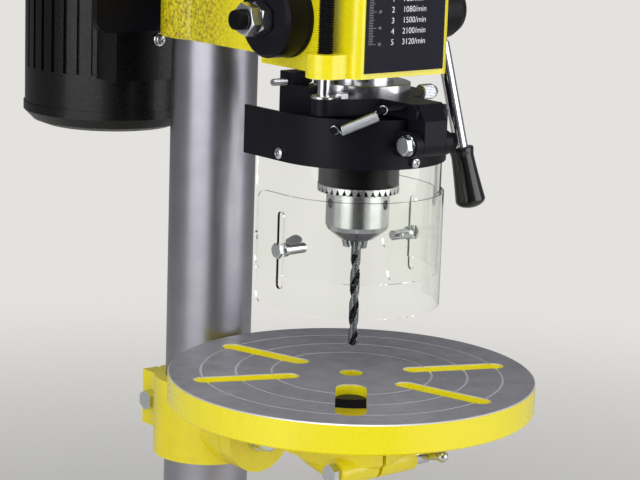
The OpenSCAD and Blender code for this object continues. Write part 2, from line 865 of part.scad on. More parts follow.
function involute(r, a) = [r * (cos(a) + a * PI / 180 * sin(a)), r * (sin(a) - a * PI / 180 * cos(a))];
function turned(p, a) = [p[0] * cos(a) - p[1] * sin(a), p[0] * sin(a) + p[1] * cos(a)];
function flank_angle(base_r, r) = r <= base_r ? 0 : sqrt(pow(r / base_r, 2) - 1) * 180 / PI;

// Pinion outline: involute flanks from the base circle to the tip
module pinion_outline() {
  base_r = pitch_r * cos(pressure);
  tip_r = pitch_r + tooth_tip;
  root_r = pitch_r - tooth_root;
  inv = tan(pressure) * 180 / PI - pressure;
  half = 90 / pinion_teeth + inv - backlash / 2 / pitch_r * 180 / PI;
  last = flank_angle(base_r, tip_r);
  flank = [for (k = [0:4]) turned(involute(base_r, last * k / 4), -half)];
  circle(r = root_r);
  for (i = [0:pinion_teeth - 1]) rotate(i * 360 / pinion_teeth)
    polygon(concat([[0, 0], turned([root_r, 0], -half)], flank,
      [for (k = [4:-1:0]) [flank[k][0], -flank[k][1]]], [turned([root_r, 0], half)]));
}

// The pinion's tooth gap faces the rack tooth at mid height
module pinion_shaft() {
  color("#9a9da2") translate([0, pinion_y, pinion_z]) {
    translate([-pinion_half, 0, 0]) rotate([90, 0, 90]) linear_extrude(2 * pinion_half)
      rotate(180 + 180 / pinion_teeth) pinion_outline();
    bar_x(journal_r, journal_x, hub_x + hub_l - 6);
    bar_x(tail_r, pinion_half, journal_x);
    bar_x(tail_r, -head_half - cup_l + cup_wall + 1, -pinion_half);
    bar_x(stud_r, stud_x, -head_half - cup_l + cup_wall + 2);
  }
}

module feed_hub() {
  color("#151517") translate([hub_x, pinion_y, pinion_z]) difference() {
    rotate([0, 90, 0]) rotate_extrude() polygon([
      [0, 0], [hub_d / 2 - 4, 0], [hub_d / 2, 4], [hub_d / 2, hub_l - 8], [hub_d / 2 - 3, hub_l - 2],
      [hub_d / 2 - 8, hub_l], [0, hub_l]
    ]);
    bar_x(journal_r + seat_fit, -past, hub_l - 6 + seat_fit);
    translate([lever_x - hub_x, 0, 0]) levers_at() cylinder(r = lever_d / 2 - 1 + seat_fit, h = hub_d);
  }
}

// Lever frames: local +Z runs out along the lever, leaning outwards
module levers_at() {
  for (i = [0:2]) rotate([180 + lever_phase + i * 120, 0, 0]) rotate([0, lever_lean, 0])
    translate([0, 0, journal_r + 1.2]) children();
}

module feed_levers() {
  reach = lever_l - journal_r;
  color("#d5d8db") translate([lever_x, pinion_y, pinion_z]) levers_at() {
    cylinder(r = lever_d / 2 - 1, h = hub_d / 2 - journal_r + 2.5);
    translate([0, 0, hub_d / 2 - journal_r + 2])
      cylinder(d = lever_d, h = reach - hub_d / 2 + journal_r - 12);
  }
}

module lever_knobs() {
  reach = lever_l - journal_r;
  color("#141416") translate([lever_x, pinion_y, pinion_z]) levers_at() translate([0, 0, reach - knob_l])
    difference() {
      rotate_extrude() polygon([
        [0, 0], [knob_neck_r - 1, 0], [knob_neck_r, 1.2], [knob_neck_r + 0.6, 6],
        [knob_end_r - 0.4, knob_l - 9],
        [knob_end_r, knob_l - 6], [knob_end_r - 1.2, knob_l - 2.4], [knob_end_r - 4, knob_l], [0, knob_l]
      ]);
      translate([0, 0, -past]) cylinder(r = lever_d / 2 + seat_fit, h = knob_l - 9.5 + past);
    }
}

module spring_cup() {
  color("#121214") translate([0, pinion_y, pinion_z]) rotate([0, -90, 0]) translate([0, 0, head_half])
    rotate_extrude() polygon([
      [tail_r + 4, 0], [cup_d / 2 + 0.6, 0], [cup_d / 2 + 0.6, 2], [cup_d / 2, 3], [cup_d / 2, cup_l - 2],
      [cup_d / 2 - 2, cup_l], [stud_r + 0.5, cup_l], [stud_r + 0.5, cup_l - cup_wall],
      [cup_d / 2 - cup_wall - 1, cup_l - cup_wall], [cup_d / 2 - cup_wall - 1, 2], [tail_r + 4, 2]
    ]);
}

// Flat spiral strip between the shaft and the cup wall
module return_spring() {
  turns = 5;
  strip = 0.7;
  r0 = tail_r + 0.7;
  r1 = cup_d / 2 - cup_wall - 2.2;
  count = turns * 20;
  mid = [for (i = [0:count]) [r0 + (r1 - r0) * i / count, i * 360 * turns / count]];
  ring = concat([for (p = mid) (p[0] + strip) * [cos(p[1]), sin(p[1])]],
                [for (i = [count:-1:0]) mid[i][0] * [cos(mid[i][1]), sin(mid[i][1])]]);
  color("#5a5d62") translate([-head_half - 4, pinion_y, pinion_z]) rotate([0, -90, 0])
    linear_extrude(cup_l - cup_wall - 6) polygon(ring);
}

module cup_nuts() {
  color("#c4c7cb") translate([cup_x - side_gap, pinion_y, pinion_z]) rotate([0, -90, 0]) for (i = [0, 1])
    translate([0, 0, i * (nut_t + 0.2)]) rotate(i * 17) difference() {
      intersection() {
        hex(nut_af, nut_t);
        rotate_extrude() polygon([[0, 0], [nut_af / 2, 0], [nut_af * 0.6, 1.6], [nut_af * 0.6, nut_t - 1.6],
                                  [nut_af / 2, nut_t], [0, nut_t]]);
      }
      translate([0, 0, -past]) cylinder(r = stud_r + seat_fit, h = nut_t + 2 * past);
    }
}

// QUILL, SPINDLE AND CHUCK

module rack_tooth() {
  pitch = PI * rack_module;
  slope = tan(pressure);
  half = pitch / 4 - backlash / 2;
  polygon([
    [-tooth_root - 0.3, -half - (tooth_root + 0.3) * slope], [tooth_tip, -half + tooth_tip * slope],
    [tooth_tip, half - tooth_tip * slope], [-tooth_root - 0.3, half + (tooth_root + 0.3) * slope]
  ]);
}

module rack_teeth() {
  pitch = PI * rack_module;
  n_low = -4;
  n_high = ceil(stroke / pitch) + 4;
  translate([-rack_half, spindle_y + pitch_y, pinion_z]) for (i = [n_low:n_high]) translate([0, 0, i * pitch])
    rotate([90, 0, 90]) linear_extrude(2 * rack_half) rack_tooth();
}

module quill() {
  pitch = PI * rack_module;
  root_y = pitch_y - tooth_root;
  color("#b7babe") difference() {
    union() {
      difference() {
        translate([0, spindle_y, quill_z]) cylinder(r = quill_r, h = quill_l);
        translate([-rack_half, spindle_y + root_y, pinion_z - 4.5 * pitch])
          cube([2 * rack_half, rack_sink + tooth_root + past, stroke + 9.4 * pitch]);
      }
      intersection() {
        rack_teeth();
        translate([0, spindle_y, quill_z]) cylinder(r = quill_r, h = quill_l);
      }
    }
    translate([0, spindle_y, quill_z - past]) {
      cylinder(r = quill_bore_r, h = quill_l + 2 * past);
      cylinder(r = bearing_r + seat_fit, h = bearing_w + 2 + past);
      translate([0, 0, quill_l - bearing_w]) cylinder(r = bearing_r + seat_fit, h = bearing_w + 2 * past);
    }
  }
}

module quill_ring() {
  color("#c8cbce") translate([0, spindle_y, collar_top]) rotate_extrude() polygon([
    [quill_r + seat_fit, 0], [ring_flange_r, 0], [ring_flange_r, ring_flange_h - 3],
    [ring_flange_r - 1, ring_flange_h - 2.6], [quill_r + seat_fit, ring_flange_h - 2.6]
  ]);
}

module quill_bearings() {
  color("#d0d3d6") translate([0, spindle_y, quill_z]) {
    translate([0, 0, 2]) bearing_ring(spindle_r + run_fit, bearing_r, bearing_w);
    translate([0, 0, quill_l - bearing_w - 1]) bearing_ring(spindle_r + run_fit, bearing_r, bearing_w);
  }
}

module spindle() {
  low = ring_z + 8;
  shoulder = sleeve_top + 1.6;
  spline_low = quill_top + 1;
  spline_top = pulley_z + steps * step_h - 3;
  color("#a4a7ab") translate([0, spindle_y, 0]) {
    translate([0, 0, low]) cylinder(r1 = 6.6, r2 = 7.4, h = shoulder - low);
    translate([0, 0, shoulder - 0.2]) cylinder(r = spindle_r, h = spline_low + 0.4 - shoulder);
    translate([0, 0, spline_low]) linear_extrude(spline_top - spline_low) spline_outline(0);
  }
}

// Jaw frames: local +Z runs up along the slanted jaw
module jaw_at(i) {
  translate([0, spindle_y, jaw_tip_z]) rotate(i * 120 + 30) translate([jaw_axis, 0, 0])
    rotate([0, jaw_slant, 0]) children();
}

module chuck_body() {
  color("#d3d5d8") difference() {
    translate([0, spindle_y, 0]) rotate_extrude() polygon([
      [0, chuck_bottom], [nose_r, chuck_bottom], [nose_r + 1.4, chuck_bottom + 0.5],
      [chuck_r - 4, chuck_bottom + 4.6], [chuck_r - 1.2, chuck_bottom + 7], [chuck_r, chuck_bottom + 10],
      [chuck_r, ring_low + ring_h - 0.6],
      [chuck_core_r, ring_low + ring_h - 0.6],
      [chuck_core_r, chuck_top], [0, chuck_top]
    ]);
    translate([0, spindle_y, ring_z + 7])
      cylinder(r1 = 6.6 + seat_fit, r2 = 7.5 + seat_fit, h = chuck_top - ring_z - 7 + 0.1);
    translate([0, spindle_y, chuck_bottom - past])
      cylinder(d = drill_d + 1.2, h = shank_top - chuck_bottom + 2 + past);
    for (i = [0:2]) jaw_at(i) translate([0, 0, -6]) cylinder(r = jaw_r + run_fit, h = 90);
    for (a = [50, 170, 290]) translate([0, spindle_y, ring_low - 7]) rotate(a)
      bar_x(key_hole_r, chuck_r - 4, chuck_r + past);
  }
}

module chuck_jaw(i) {
  color("#8d9196") intersection() {
    difference() {
      jaw_at(i) translate([0, 0, -4]) cylinder(r = jaw_r, h = jaw_l + 4);
      translate([0, spindle_y, jaw_tip_z - 20]) cylinder(r = drill_d / 2 + 0.03, h = 90);
      translate([-30, spindle_y - 30, jaw_tip_z - 30]) cube([60, 60, 30]);
    }
    translate([0, spindle_y, 0]) rotate(i * 120 + 30) translate([0, 0, jaw_tip_z - 5])
      linear_extrude(80) polygon([[0.2, 0], [40, -66], [40, 66]]);
  }
}

module chuck_jaw_1() { chuck_jaw(0); }
module chuck_jaw_2() { chuck_jaw(1); }
module chuck_jaw_3() { chuck_jaw(2); }

module chuck_ring() {
  tooth_w = PI * ring_d / ring_teeth * 0.58;
  tooth_h = ring_h - 1.5;
  color("#c9cccf") translate([0, spindle_y, ring_low]) difference() {
    rotate_extrude() polygon([
      [chuck_r + run_fit, 0], [ring_d / 2 - 2, 0], [ring_d / 2, 1.8], [ring_d / 2, ring_h],
      [chuck_r + run_fit, ring_h]
    ]);
    for (i = [0:ring_teeth - 1]) rotate(i * 360 / ring_teeth) translate([ring_d / 2 - 4, 0, 0])
      rotate([90, 0, 90]) linear_extrude(6)
        polygon([[-tooth_w / 2, -past], [tooth_w / 2, -past], [0, tooth_h]]);
  }
}

module chuck_sleeve() {
  low = ring_low + ring_h;
  color("#19191b") translate([0, spindle_y, low]) rotate_extrude() polygon([
    [sleeve_cave_r, 0], [sleeve_out_r, 0], [sleeve_out_r, sleeve_h - 4], [sleeve_out_r - 3, sleeve_h],
    [chuck_core_r + run_fit, sleeve_h], [chuck_core_r + run_fit, sleeve_h - 7],
    [sleeve_cave_r, sleeve_h - 8.5]
  ]);
}

drill_lead = 40;

// Two flutes on a round web
module drill_outline() {
  r = drill_d / 2;
  difference() {
    circle(r = r, $fn = 20);
    for (s = [0, 180]) rotate(s) translate([r * 0.95, r * 0.36]) circle(r = r * 0.72, $fn = 14);
  }
}

// Everything inside the drill's point and its full diameter
module drill_envelope(l) {
  r = drill_d / 2;
  point_h = (r + 0.8) * tan(31);
  cylinder(r1 = 0.2, r2 = r + 1, h = point_h, $fn = 32);
  translate([0, 0, point_h]) cylinder(r = r + 1, h = l - point_h + past);
}

module twist_drill() {
  tip_z = ring_z - drill_reach;
  flute_l = drill_reach - 44;
  total = shank_top - tip_z;
  color("#2b2c30") translate([0, spindle_y, tip_z]) intersection() {
    union() {
      linear_extrude(flute_l, twist = -360 * flute_l / drill_lead, slices = 28) drill_outline();
      translate([0, 0, flute_l - 1]) cylinder(d = drill_d, h = total - flute_l + 1, $fn = 20);
    }
    drill_envelope(total);
  }
}

// COLLAR AND DEPTH STOP

module collar_body() {
  boss_y = spindle_y - rod_y;
  translate([0, spindle_y, collar_z]) cylinder(r = collar_r, h = collar_h);
  translate([-collar_side, boss_y, collar_z]) cube([collar_side - 20, collar_rear - boss_y, collar_h]);
  translate([-rod_x, boss_y, rod_boss_z]) cylinder(r = rod_boss_r, h = collar_top - rod_boss_z);
  translate([0, 0, rod_boss_z]) linear_extrude(collar_top - rod_boss_z) polygon([
    [-rod_x, boss_y + rod_boss_r], [-rod_x, boss_y - rod_boss_r], [-12, spindle_y - collar_r + 2],
    [0, spindle_y - 30], [-25, spindle_y]
  ]);
}

// The arm's side view: a sloped block over the hinge, its knuckle below and a bar back to the collar
module arm_outline(slope) {
  polygon([
    [hinge_y + hinge_r - 0.4, hinge_z], [hinge_y - hinge_r, hinge_z],
    [hinge_y - hinge_r, collar_top - slope - 3], [hinge_y - hinge_r + slope, collar_top],
    [spindle_y - 30, collar_top], [spindle_y - 30, collar_top - 9.5],
    [hinge_y + hinge_r - 0.4, collar_top - 9.5]
  ]);
}

module collar_arm() {
  translate([guard_x - knuckle_w / 2, 0, 0]) rotate([90, 0, 90]) linear_extrude(knuckle_w) arm_outline(7);
  translate([guard_x, hinge_y, hinge_z]) bar_x(hinge_r, -knuckle_w / 2, knuckle_w / 2);
  translate([arm_face, 0, 0]) rotate([90, 0, 90]) linear_extrude(knuckle_w + 6) polygon([
    [hinge_y - 3, collar_top - 9.5], [hinge_y - 3, collar_top - 4], [hinge_y + 1, collar_top],
    [spindle_y - 30, collar_top], [spindle_y - 30, collar_top - 9.5]
  ]);
  translate([guard_x + knuckle_w / 2, hinge_y + 6, collar_top - 9.5]) cube([12, spindle_y - hinge_y - 34, 7]);
}

// Raised rear corner with a taller ear for the set screw
ear_x = collar_side - 14;
ear_z = collar_top + 5;
ear_screw_r = 2.3;
thumb_z = collar_top - 4.8;
thumb_r = 3;
thumb_out = 20;
thumb_knob_l = 10;
thumb_knob_r = 5.2;
thumb_ball_r = 5;
ear_screw_out = 11;

module collar_ear() {
  translate([-collar_side, spindle_y, collar_z]) cube([11.5, collar_rear - spindle_y, collar_h + 4]);
  translate([-collar_side, collar_rear - 12, collar_z]) cube([collar_side - ear_x, 12, collar_h + 11.5]);
}

module set_screw_at() {
  translate([0, collar_rear - 6, ear_z]) children();
}

module guard_collar() {
  color("#151517") difference() {
    union() {
      collar_body();
      collar_arm();
      collar_ear();
    }
    translate([0, spindle_y, collar_z - past]) cylinder(r = quill_r + seat_fit, h = collar_h + 2 * past);
    translate([-rod_x, spindle_y - rod_y, rod_seat_z])
      cylinder(r = rod_d / 2 - 0.75 + seat_fit, h = collar_h);
    translate([guard_x, hinge_y, hinge_z]) bar_x(hinge_pin_r + seat_fit, -knuckle_w, knuckle_w);
    set_screw_at() bar_x(ear_screw_r + seat_fit, -collar_side - past, -ear_x + past);
    translate([0, spindle_y, thumb_z]) bar_x(thumb_r + seat_fit, quill_r, collar_r + 5);
    translate(arm_post) bar_x(post_r + seat_fit, 0, arm_face + 3 - arm_post[0]);
  }
}

// Set screw in the ear, thumb screw on the right and the spring's post on the arm
module collar_screws() {
  ring_reach = sqrt(pow(ring_flange_r, 2) - pow(collar_rear - 8.5 - spindle_y, 2));
  color("#cfd2d5") {
    set_screw_at() bar_x(ear_screw_r, -collar_side - ear_screw_out, -ring_reach - side_gap);
    translate([0, spindle_y, thumb_z]) {
      bar_x(thumb_r, quill_r + side_gap, collar_r + thumb_out);
      bar_x(thumb_knob_r, collar_r + thumb_out - thumb_knob_l, collar_r + thumb_out);
      translate([collar_r + thumb_out, 0, 0]) sphere(r = thumb_ball_r);
    }
    translate(arm_post) {
      bar_x(post_r, -5, arm_face + 2.4 - arm_post[0]);
      bar_x(post_r + 0.8, -6, -5);
    }
  }
}

module depth_rod() {
  r = rod_d / 2;
  color("#2a2b2e") translate([-rod_x, spindle_y - rod_y, 0]) {
    translate([0, 0, rod_seat_z + 0.5]) cylinder(r = r - 0.75, h = lug_z + lug_t + 2 - rod_seat_z);
    translate([0, 0, collar_top]) cylinder(r = 8.2, h = 1.8);
    translate([0, 0, lug_z + lug_t]) cylinder(r = r, h = rod_seat_z + rod_l - lug_z - lug_t - 1);
    translate([0, 0, rod_seat_z + rod_l - 1]) cylinder(r1 = r, r2 = r - 1, h = 1);
  }
}

module depth_nuts() {
  color("#c4c7cb") translate([-rod_x, spindle_y - rod_y, stop_nut_z]) for (i = [0, 1])
    translate([0, 0, i * (stop_nut_t + 0.2)]) rotate(i * 12) difference() {
      hex(stop_nut_af, stop_nut_t);
      translate([0, 0, -past]) cylinder(r = rod_d / 2 + run_fit, h = stop_nut_t + 2 * past);
    }
}

// CHUCK GUARD

// U-shaped wall round the spindle: half round in front, straight sides to the back
module guard_wall(r, t, z, h, back, corner = 0) {
  translate([guard_x, spindle_y, z]) difference() {
    union() {
      cylinder(r = r, h = h, $fn = 96);
      translate([-r, 0, 0]) cube([2 * r, back, h]);
    }
    translate([0, 0, -past]) cylinder(r = r - t, h = h + 2 * past, $fn = 96);
    translate([-r + t, 0, -past]) cube([2 * (r - t), back + past, h + 2 * past]);
    translate([-r - past, back, -past]) cube([2 * r + 2 * past, r, h + 2 * past]);
    if (corner > 0) for (s = [0, 1]) translate([0, back - corner, s * h]) mirror([0, 0, s]) difference() {
      translate([-r - past, 0, -past]) cube([2 * r + 2 * past, corner + past, corner + past]);
      translate([0, 0, corner]) bar_x(corner, -r - 1, r + 1);
    }
  }
}

// Side screws stand along X on both walls
module side_screws_at(y, z) {
  for (s = [-1, 1]) translate([guard_x, y, z]) mirror([s > 0 ? 0 : 1, 0, 0]) children();
}

// The front screw stands square to the round wall, below the hinge
module front_screw_at() {
  translate([guard_x, spindle_y, screw_z - 0.8]) rotate(-90 + screw_front) children();
}

module guard_band() {
  post_dir = atan2(band_post[1] - spindle_y, band_post[0] - guard_x);
  post_len = norm([band_post[0] - guard_x, band_post[1] - spindle_y]);
  color("#17171a") difference() {
    union() {
      guard_wall(guard_r, band_t, band_z, band_h, band_back);
      for (s = [-1, 1]) translate([guard_x + s * (knuckle_w / 2 + side_gap + ear_w / 2), 0, 0]) {
        translate([0, hinge_y, hinge_z]) bar_x(hinge_r, -ear_w / 2, ear_w / 2);
        translate([-ear_w / 2, hinge_y, hinge_z - hinge_r]) cube([ear_w, 9 + band_t / 2 + 1.6, 2 * hinge_r]);
      }
    }
    translate([guard_x, hinge_y, hinge_z])
      bar_x(hinge_pin_r + run_fit, -knuckle_w - ear_w, knuckle_w + ear_w);
    side_screws_at(spindle_y + screw_back, screw_z) bar_x(2 + seat_fit, 0, guard_r + past);
    front_screw_at() bar_x(2 + seat_fit, 0, guard_r + past);
    translate([guard_x, spindle_y, band_post[2]]) rotate(post_dir) bar_x(post_r + seat_fit, 0, post_len);
  }
}

module guard_hinge_bolt() {
  reach = knuckle_w / 2 + side_gap + ear_w;
  color("#c9ccd0") translate([guard_x, hinge_y, hinge_z]) {
    bar_x(hinge_pin_r, -reach - 0.5, reach + 7);
    translate([-reach - 5.3, 0, 0]) rotate([0, 90, 0]) hex(11, 5);
    translate([reach + 0.3, 0, 0]) rotate([0, 90, 0]) hex(11, 6);
  }
}

module inner_sheet() {
  color([0.85, 0.92, 0.95, 0.5]) difference() {
    guard_wall(inner_r, sheet_t, inner_low, inner_top - inner_low, sheet_back + 4, 7);
    side_screws_at(spindle_y + screw_back, screw_z) bar_x(2 + seat_fit, 0, guard_r + past);
    front_screw_at() bar_x(2 + seat_fit, 0, guard_r + past);
    side_screws_at(wing_y, wing_z) bar_x(wing_r + seat_fit, 0, guard_r + past);
  }
}

module outer_sheet() {
  color([0.85, 0.92, 0.95, 0.5]) difference() {
    guard_wall(outer_r, sheet_t - 0.2, outer_low, sheet_h, sheet_back, 7);
    side_screws_at(wing_y, wing_z) translate([outer_in - past, 0, 0]) rotate([0, 90, 0]) rotate(90)
      slot_y(2 * wing_r + 2 * side_gap, wing_slot, 2 * sheet_t + past);
  }
}

module pan_screw(len, under) {
  bar_x(2, guard_r - len, guard_r);
  translate([guard_r, 0, 0]) rotate([0, 90, 0]) rotate_extrude()
    polygon([[0, 0], [3.6, 0], [3.6, 1.2], [2.4, 2.4], [0, 2.6]]);
  translate([inner_r - sheet_t - under - 0.25, 0, 0]) rotate([0, 90, 0]) hex(7, under);
}

module guard_screws() {
  post_dir = atan2(band_post[1] - spindle_y, band_post[0] - guard_x);
  color("#cdd0d3") {
    side_screws_at(spindle_y + screw_back, screw_z) pan_screw(8, 2.4);
    front_screw_at() pan_screw(8, 2.4);
    translate([guard_x, spindle_y, band_post[2]]) rotate(post_dir) {
      bar_x(post_r, band_in - 0.5, guard_r + 7);
      bar_x(post_r + 0.8, guard_r + 7, guard_r + 8);
    }
  }
}

// Wing screws: hex head outside the sliding sheet, wing nut inside
module wing_screws() {
  color("#d5d7da") side_screws_at(wing_y, wing_z) {
    bar_x(wing_r, inner_r - sheet_t - wing_in, guard_r + 0.4);
    translate([guard_r + 0.2, 0, 0]) rotate([0, 90, 0]) hex(9, 2.6);
    translate([inner_r - sheet_t - 9, 0, 0]) {
      bar_x(4.4, 0, 8.8);
      for (s = [-1, 1]) rotate([s * 90, 0, 0]) translate([0, 0, 3]) rotate([0, -28, 0])
        translate([0.6, -1.1, 0]) cube([5.4, 2.2, 9]);
    }
  }
}

// Extension spring: eye, close turns and eye as one tube swept along its own points
spring_ring = 8;
spring_sides = 6;
band_tip = [
  guard_x + (guard_r + 3.8) * cos(atan2(band_post[1] - spindle_y, band_post[0] - guard_x)),
  spindle_y + (guard_r + 3.8) * sin(atan2(band_post[1] - spindle_y, band_post[0] - guard_x)),
  band_post[2]
];
arm_tip = [arm_post[0] - 2.4, arm_post[1], arm_post[2]];

function unit(v) = v / norm(v);
function eye_r() = post_r + spring_wire / 2 + 1;
function spring_points() =
  let (
    span = arm_tip - band_tip,
    axis = unit(span),
    side = unit(cross(axis, [0, 0, 1])),
    up = cross(side, axis),
    coil_r = (spring_d - spring_wire) / 2,
    total = norm(span),
    body = spring_turns * (spring_wire + 0.45),
    start = (total - body) / 2,
    n = spring_turns * spring_ring,
    eye_a = [for (k = [0:9]) let (a = 200 - k * 25) band_tip + eye_r() * (axis * cos(a) + up * sin(a))],
    eye_b = [for (k = [0:9]) let (a = 155 - k * 25 + 20) arm_tip + eye_r() * (axis * cos(a) + up * sin(a))],
    coil = [for (i = [0:n]) let (a = 90 + i * 360 / spring_ring)
      band_tip + axis * (start + body * i / n) + coil_r * (side * cos(a) + up * sin(a))]
  ) concat(eye_a, coil, eye_b);

function swept_rings(pts, r) = [
  for (i = [0:len(pts) - 1]) let (
    ahead = unit(pts[min(i + 1, len(pts) - 1)] - pts[max(i - 1, 0)]),
    flat = unit(cross(ahead, [0.31, 0.22, 0.93])),
    rise = cross(flat, ahead)
  ) for (k = [0:spring_sides - 1]) let (a = k * 360 / spring_sides)
    pts[i] + r * (flat * cos(a) + rise * sin(a))
];

// Least distance between points of the tube that aren't neighbours, less the wire
function self_gap(pts) = min([
  for (i = [0:len(pts) - 1]) for (j = [i + spring_ring - 2:1:min(i + 2 * spring_ring, len(pts) - 1)])
    norm(pts[i] - pts[j])
]) - spring_wire;

module guard_spring() {
  pts = spring_points();
  n = len(pts);
  m = spring_sides;
  echo(guard_spring_least_gap = self_gap(pts));
  sides = [for (i = [0:n - 2], k = [0:m - 1]) let (a = i * m + k, b = i * m + (k + 1) % m)
    for (t = [[a, b + m, b], [a, a + m, b + m]]) t];
  caps = concat([for (k = [1:m - 2]) [0, k, k + 1]],
                [for (k = [1:m - 2]) let (e = (n - 1) * m) [e, e + k + 1, e + k]]);
  color("#c5c8cb") polyhedron(points = swept_rings(pts, spring_wire / 2), faces = concat(sides, caps));
}

// TABLE

module table_slot(a, w, r0, r1) {
  rotate(a) translate([0, -(r0 + r1) / 2, plate_z - rim_h]) slot_y(w, r1 - r0, 2 * rim_h);
}

module table_ribs() {
  for (a = [0, 45, 135, 225, 315]) rotate(slot_turn + a)
    translate([-3, 46, plate_z - 8]) cube([6, table_r - rim_w - 44, 8 + past / 2]);
}

module table() {
  color("#f2d81c") translate([0, spindle_y, 0]) difference() {
    union() {
      translate([0, 0, plate_z]) cylinder(r = table_r - 1, h = table_t, $fn = 128);
      rotate_extrude($fn = 128) polygon([
        [table_r - rim_w, table_z - rim_h], [table_r - 1, table_z - rim_h], [table_r, table_z - rim_h + 1],
        [table_r, table_z - 1], [table_r - 1, table_z], [table_r - rim_w, table_z]
      ]);
      table_ribs();
    }
    for (r = [52.5, 76, 99]) translate([0, 0, table_z - groove_t]) rotate_extrude($fn = 128)
      translate([r - groove_w / 2, 0]) square([groove_w, groove_t + past]);
    for (a = [26.5, -26.5, 153.5, 206.5]) table_slot(slot_turn + 90 + a, slot_w, slot_in, slot_out);
    table_slot(wide_turn, wide_slot_w, wide_in, wide_out);
    translate([0, 0, plate_z - past]) cylinder(d = centre_hole, h = table_t + 2 * past);
  }
}

module table_stem() {
  color("#1c1c1e") translate([0, spindle_y, 0]) rotate_extrude() polygon([
    [centre_hole / 2, plate_z], [stem_flange_r, plate_z], [stem_flange_r, arm_top], [stem_r, arm_top],
    [stem_r, arm_low + 2], [stem_r - 1, arm_low + 1], [centre_hole / 2, arm_low + 1]
  ]);
}

module table_arm() {
  neck_y = spindle_y + stem_r + 6;
  color("#f2d81c") difference() {
    union() {
      translate([0, spindle_y, 0]) rotate_extrude() polygon([
        [stem_r + run_fit, arm_low], [stem_r + 2, arm_low], [arm_hub_r - 6, arm_low + arm_cone_h - 6],
        [arm_hub_r, arm_low + arm_cone_h], [arm_hub_r, arm_low + arm_cone_h + 14], [arm_hub_r - 6, arm_top],
        [stem_r + run_fit, arm_top]
      ]);
      translate([0, 0, tilt_z]) bar_y(tilt_r, tilt_face - tilt_t, tilt_face - side_gap);
      translate([-15, neck_y, tilt_z + 14]) cube([30, tilt_face - tilt_t - neck_y + past, 26]);
      translate([-6, neck_y, tilt_z - 2]) cube([12, tilt_face - tilt_t - neck_y - 14, 20]);
      translate([0, lock_y, lock_z]) bar_x(lock_boss_r, -lock_half, lock_half);
    }
    translate([0, 0, tilt_z]) bar_y(tilt_bolt_r + run_fit, tilt_face - tilt_t - past, tilt_face);
    translate([0, 0, tilt_z]) bar_y(13, tilt_face - tilt_t - 12, tilt_face - tilt_t);
    translate([-split_w / 2, spindle_y - arm_hub_r - past, arm_low - past])
      cube([split_w, arm_hub_r, arm_top - arm_low + 2 * past]);
    translate([0, spindle_y, arm_low - past])
      cylinder(r = stem_r + run_fit, h = arm_top - arm_low + 2 * past);
    translate([0, lock_y, lock_z]) bar_x(clamp_bolt_r + run_fit, -lock_half - past, lock_half + past);
  }
}

module tilt_bolt() {
  color("#c4c7cb") translate([0, 0, tilt_z]) {
    bar_y(tilt_bolt_r, tilt_face - tilt_t - side_gap, tilt_face + 14);
    translate([0, tilt_face - tilt_t - side_gap, 0]) rotate([90, 0, 0]) cylinder(r = 11.5, h = 2);
    translate([0, tilt_face - tilt_t - side_gap - 2, 0]) rotate([90, 0, 0]) hex(19, 8);
  }
}

module table_bracket() {
  color("#f2d81c") difference() {
    union() {
      translate([0, column_y, bracket_z]) cylinder(r = bracket_r, h = bracket_h);
      translate([0, 0, tilt_z]) bar_y(tilt_r, tilt_face, column_y - 20);
      translate([-14, column_y + bracket_r - 6, bracket_z + 8]) cube([28, 28, bracket_h - 16]);
    }
    translate([0, column_y, bracket_z - past]) cylinder(r = column_r + run_fit, h = bracket_h + 2 * past);
    translate([-split_w / 2, column_y, bracket_z - past])
      cube([split_w, bracket_r + 40, bracket_h + 2 * past]);
    translate([0, 0, tilt_z]) bar_y(tilt_bolt_r + seat_fit, tilt_face - past, tilt_face + 14.5);
    translate([0, clamp_y, clamp_z]) bar_x(clamp_bolt_r + run_fit, -20, 20);
  }
}

// Clamp screw with a lever on its right and a hex head on its left
module clamp_screw(half, lever) {
  bar_x(clamp_bolt_r, -half - 1, half + 6);
  translate([-half - 0.4 - 6, 0, 0]) rotate([0, 90, 0]) hex(13, 6);
  translate([half + 0.4, 0, 0]) rotate([0, 90, 0]) cylinder(r = 7, h = 11);
  translate([half + 6, 0, 0]) rotate([-20, 0, 0]) {
    cylinder(r = 3.2, h = lever);
    translate([0, 0, lever]) sphere(r = 6);
  }
}

module bracket_clamp() {
  color("#2a2a2d") translate([0, clamp_y, clamp_z]) clamp_screw(14, 46);
}

// Cross screw with a sliding bar that pinches the split hub round the stem
module table_lock() {
  color("#3a3b3f") translate([0, lock_y, lock_z]) {
    bar_x(clamp_bolt_r, -lock_half - 2, lock_half + 2);
    translate([-lock_half - 5.4, 0, 0]) rotate([0, 90, 0]) hex(12, 5);
    bar_x(6, lock_half + 0.4, lock_half + 14);
    translate([lock_half + 8, 0, 0]) rotate([78, 0, 0]) {
      translate([0, 0, -24]) cylinder(r = 2.6, h = 48);
      for (s = [-1, 1]) translate([0, 0, s * 24]) sphere(r = 3.8);
    }
  }
}

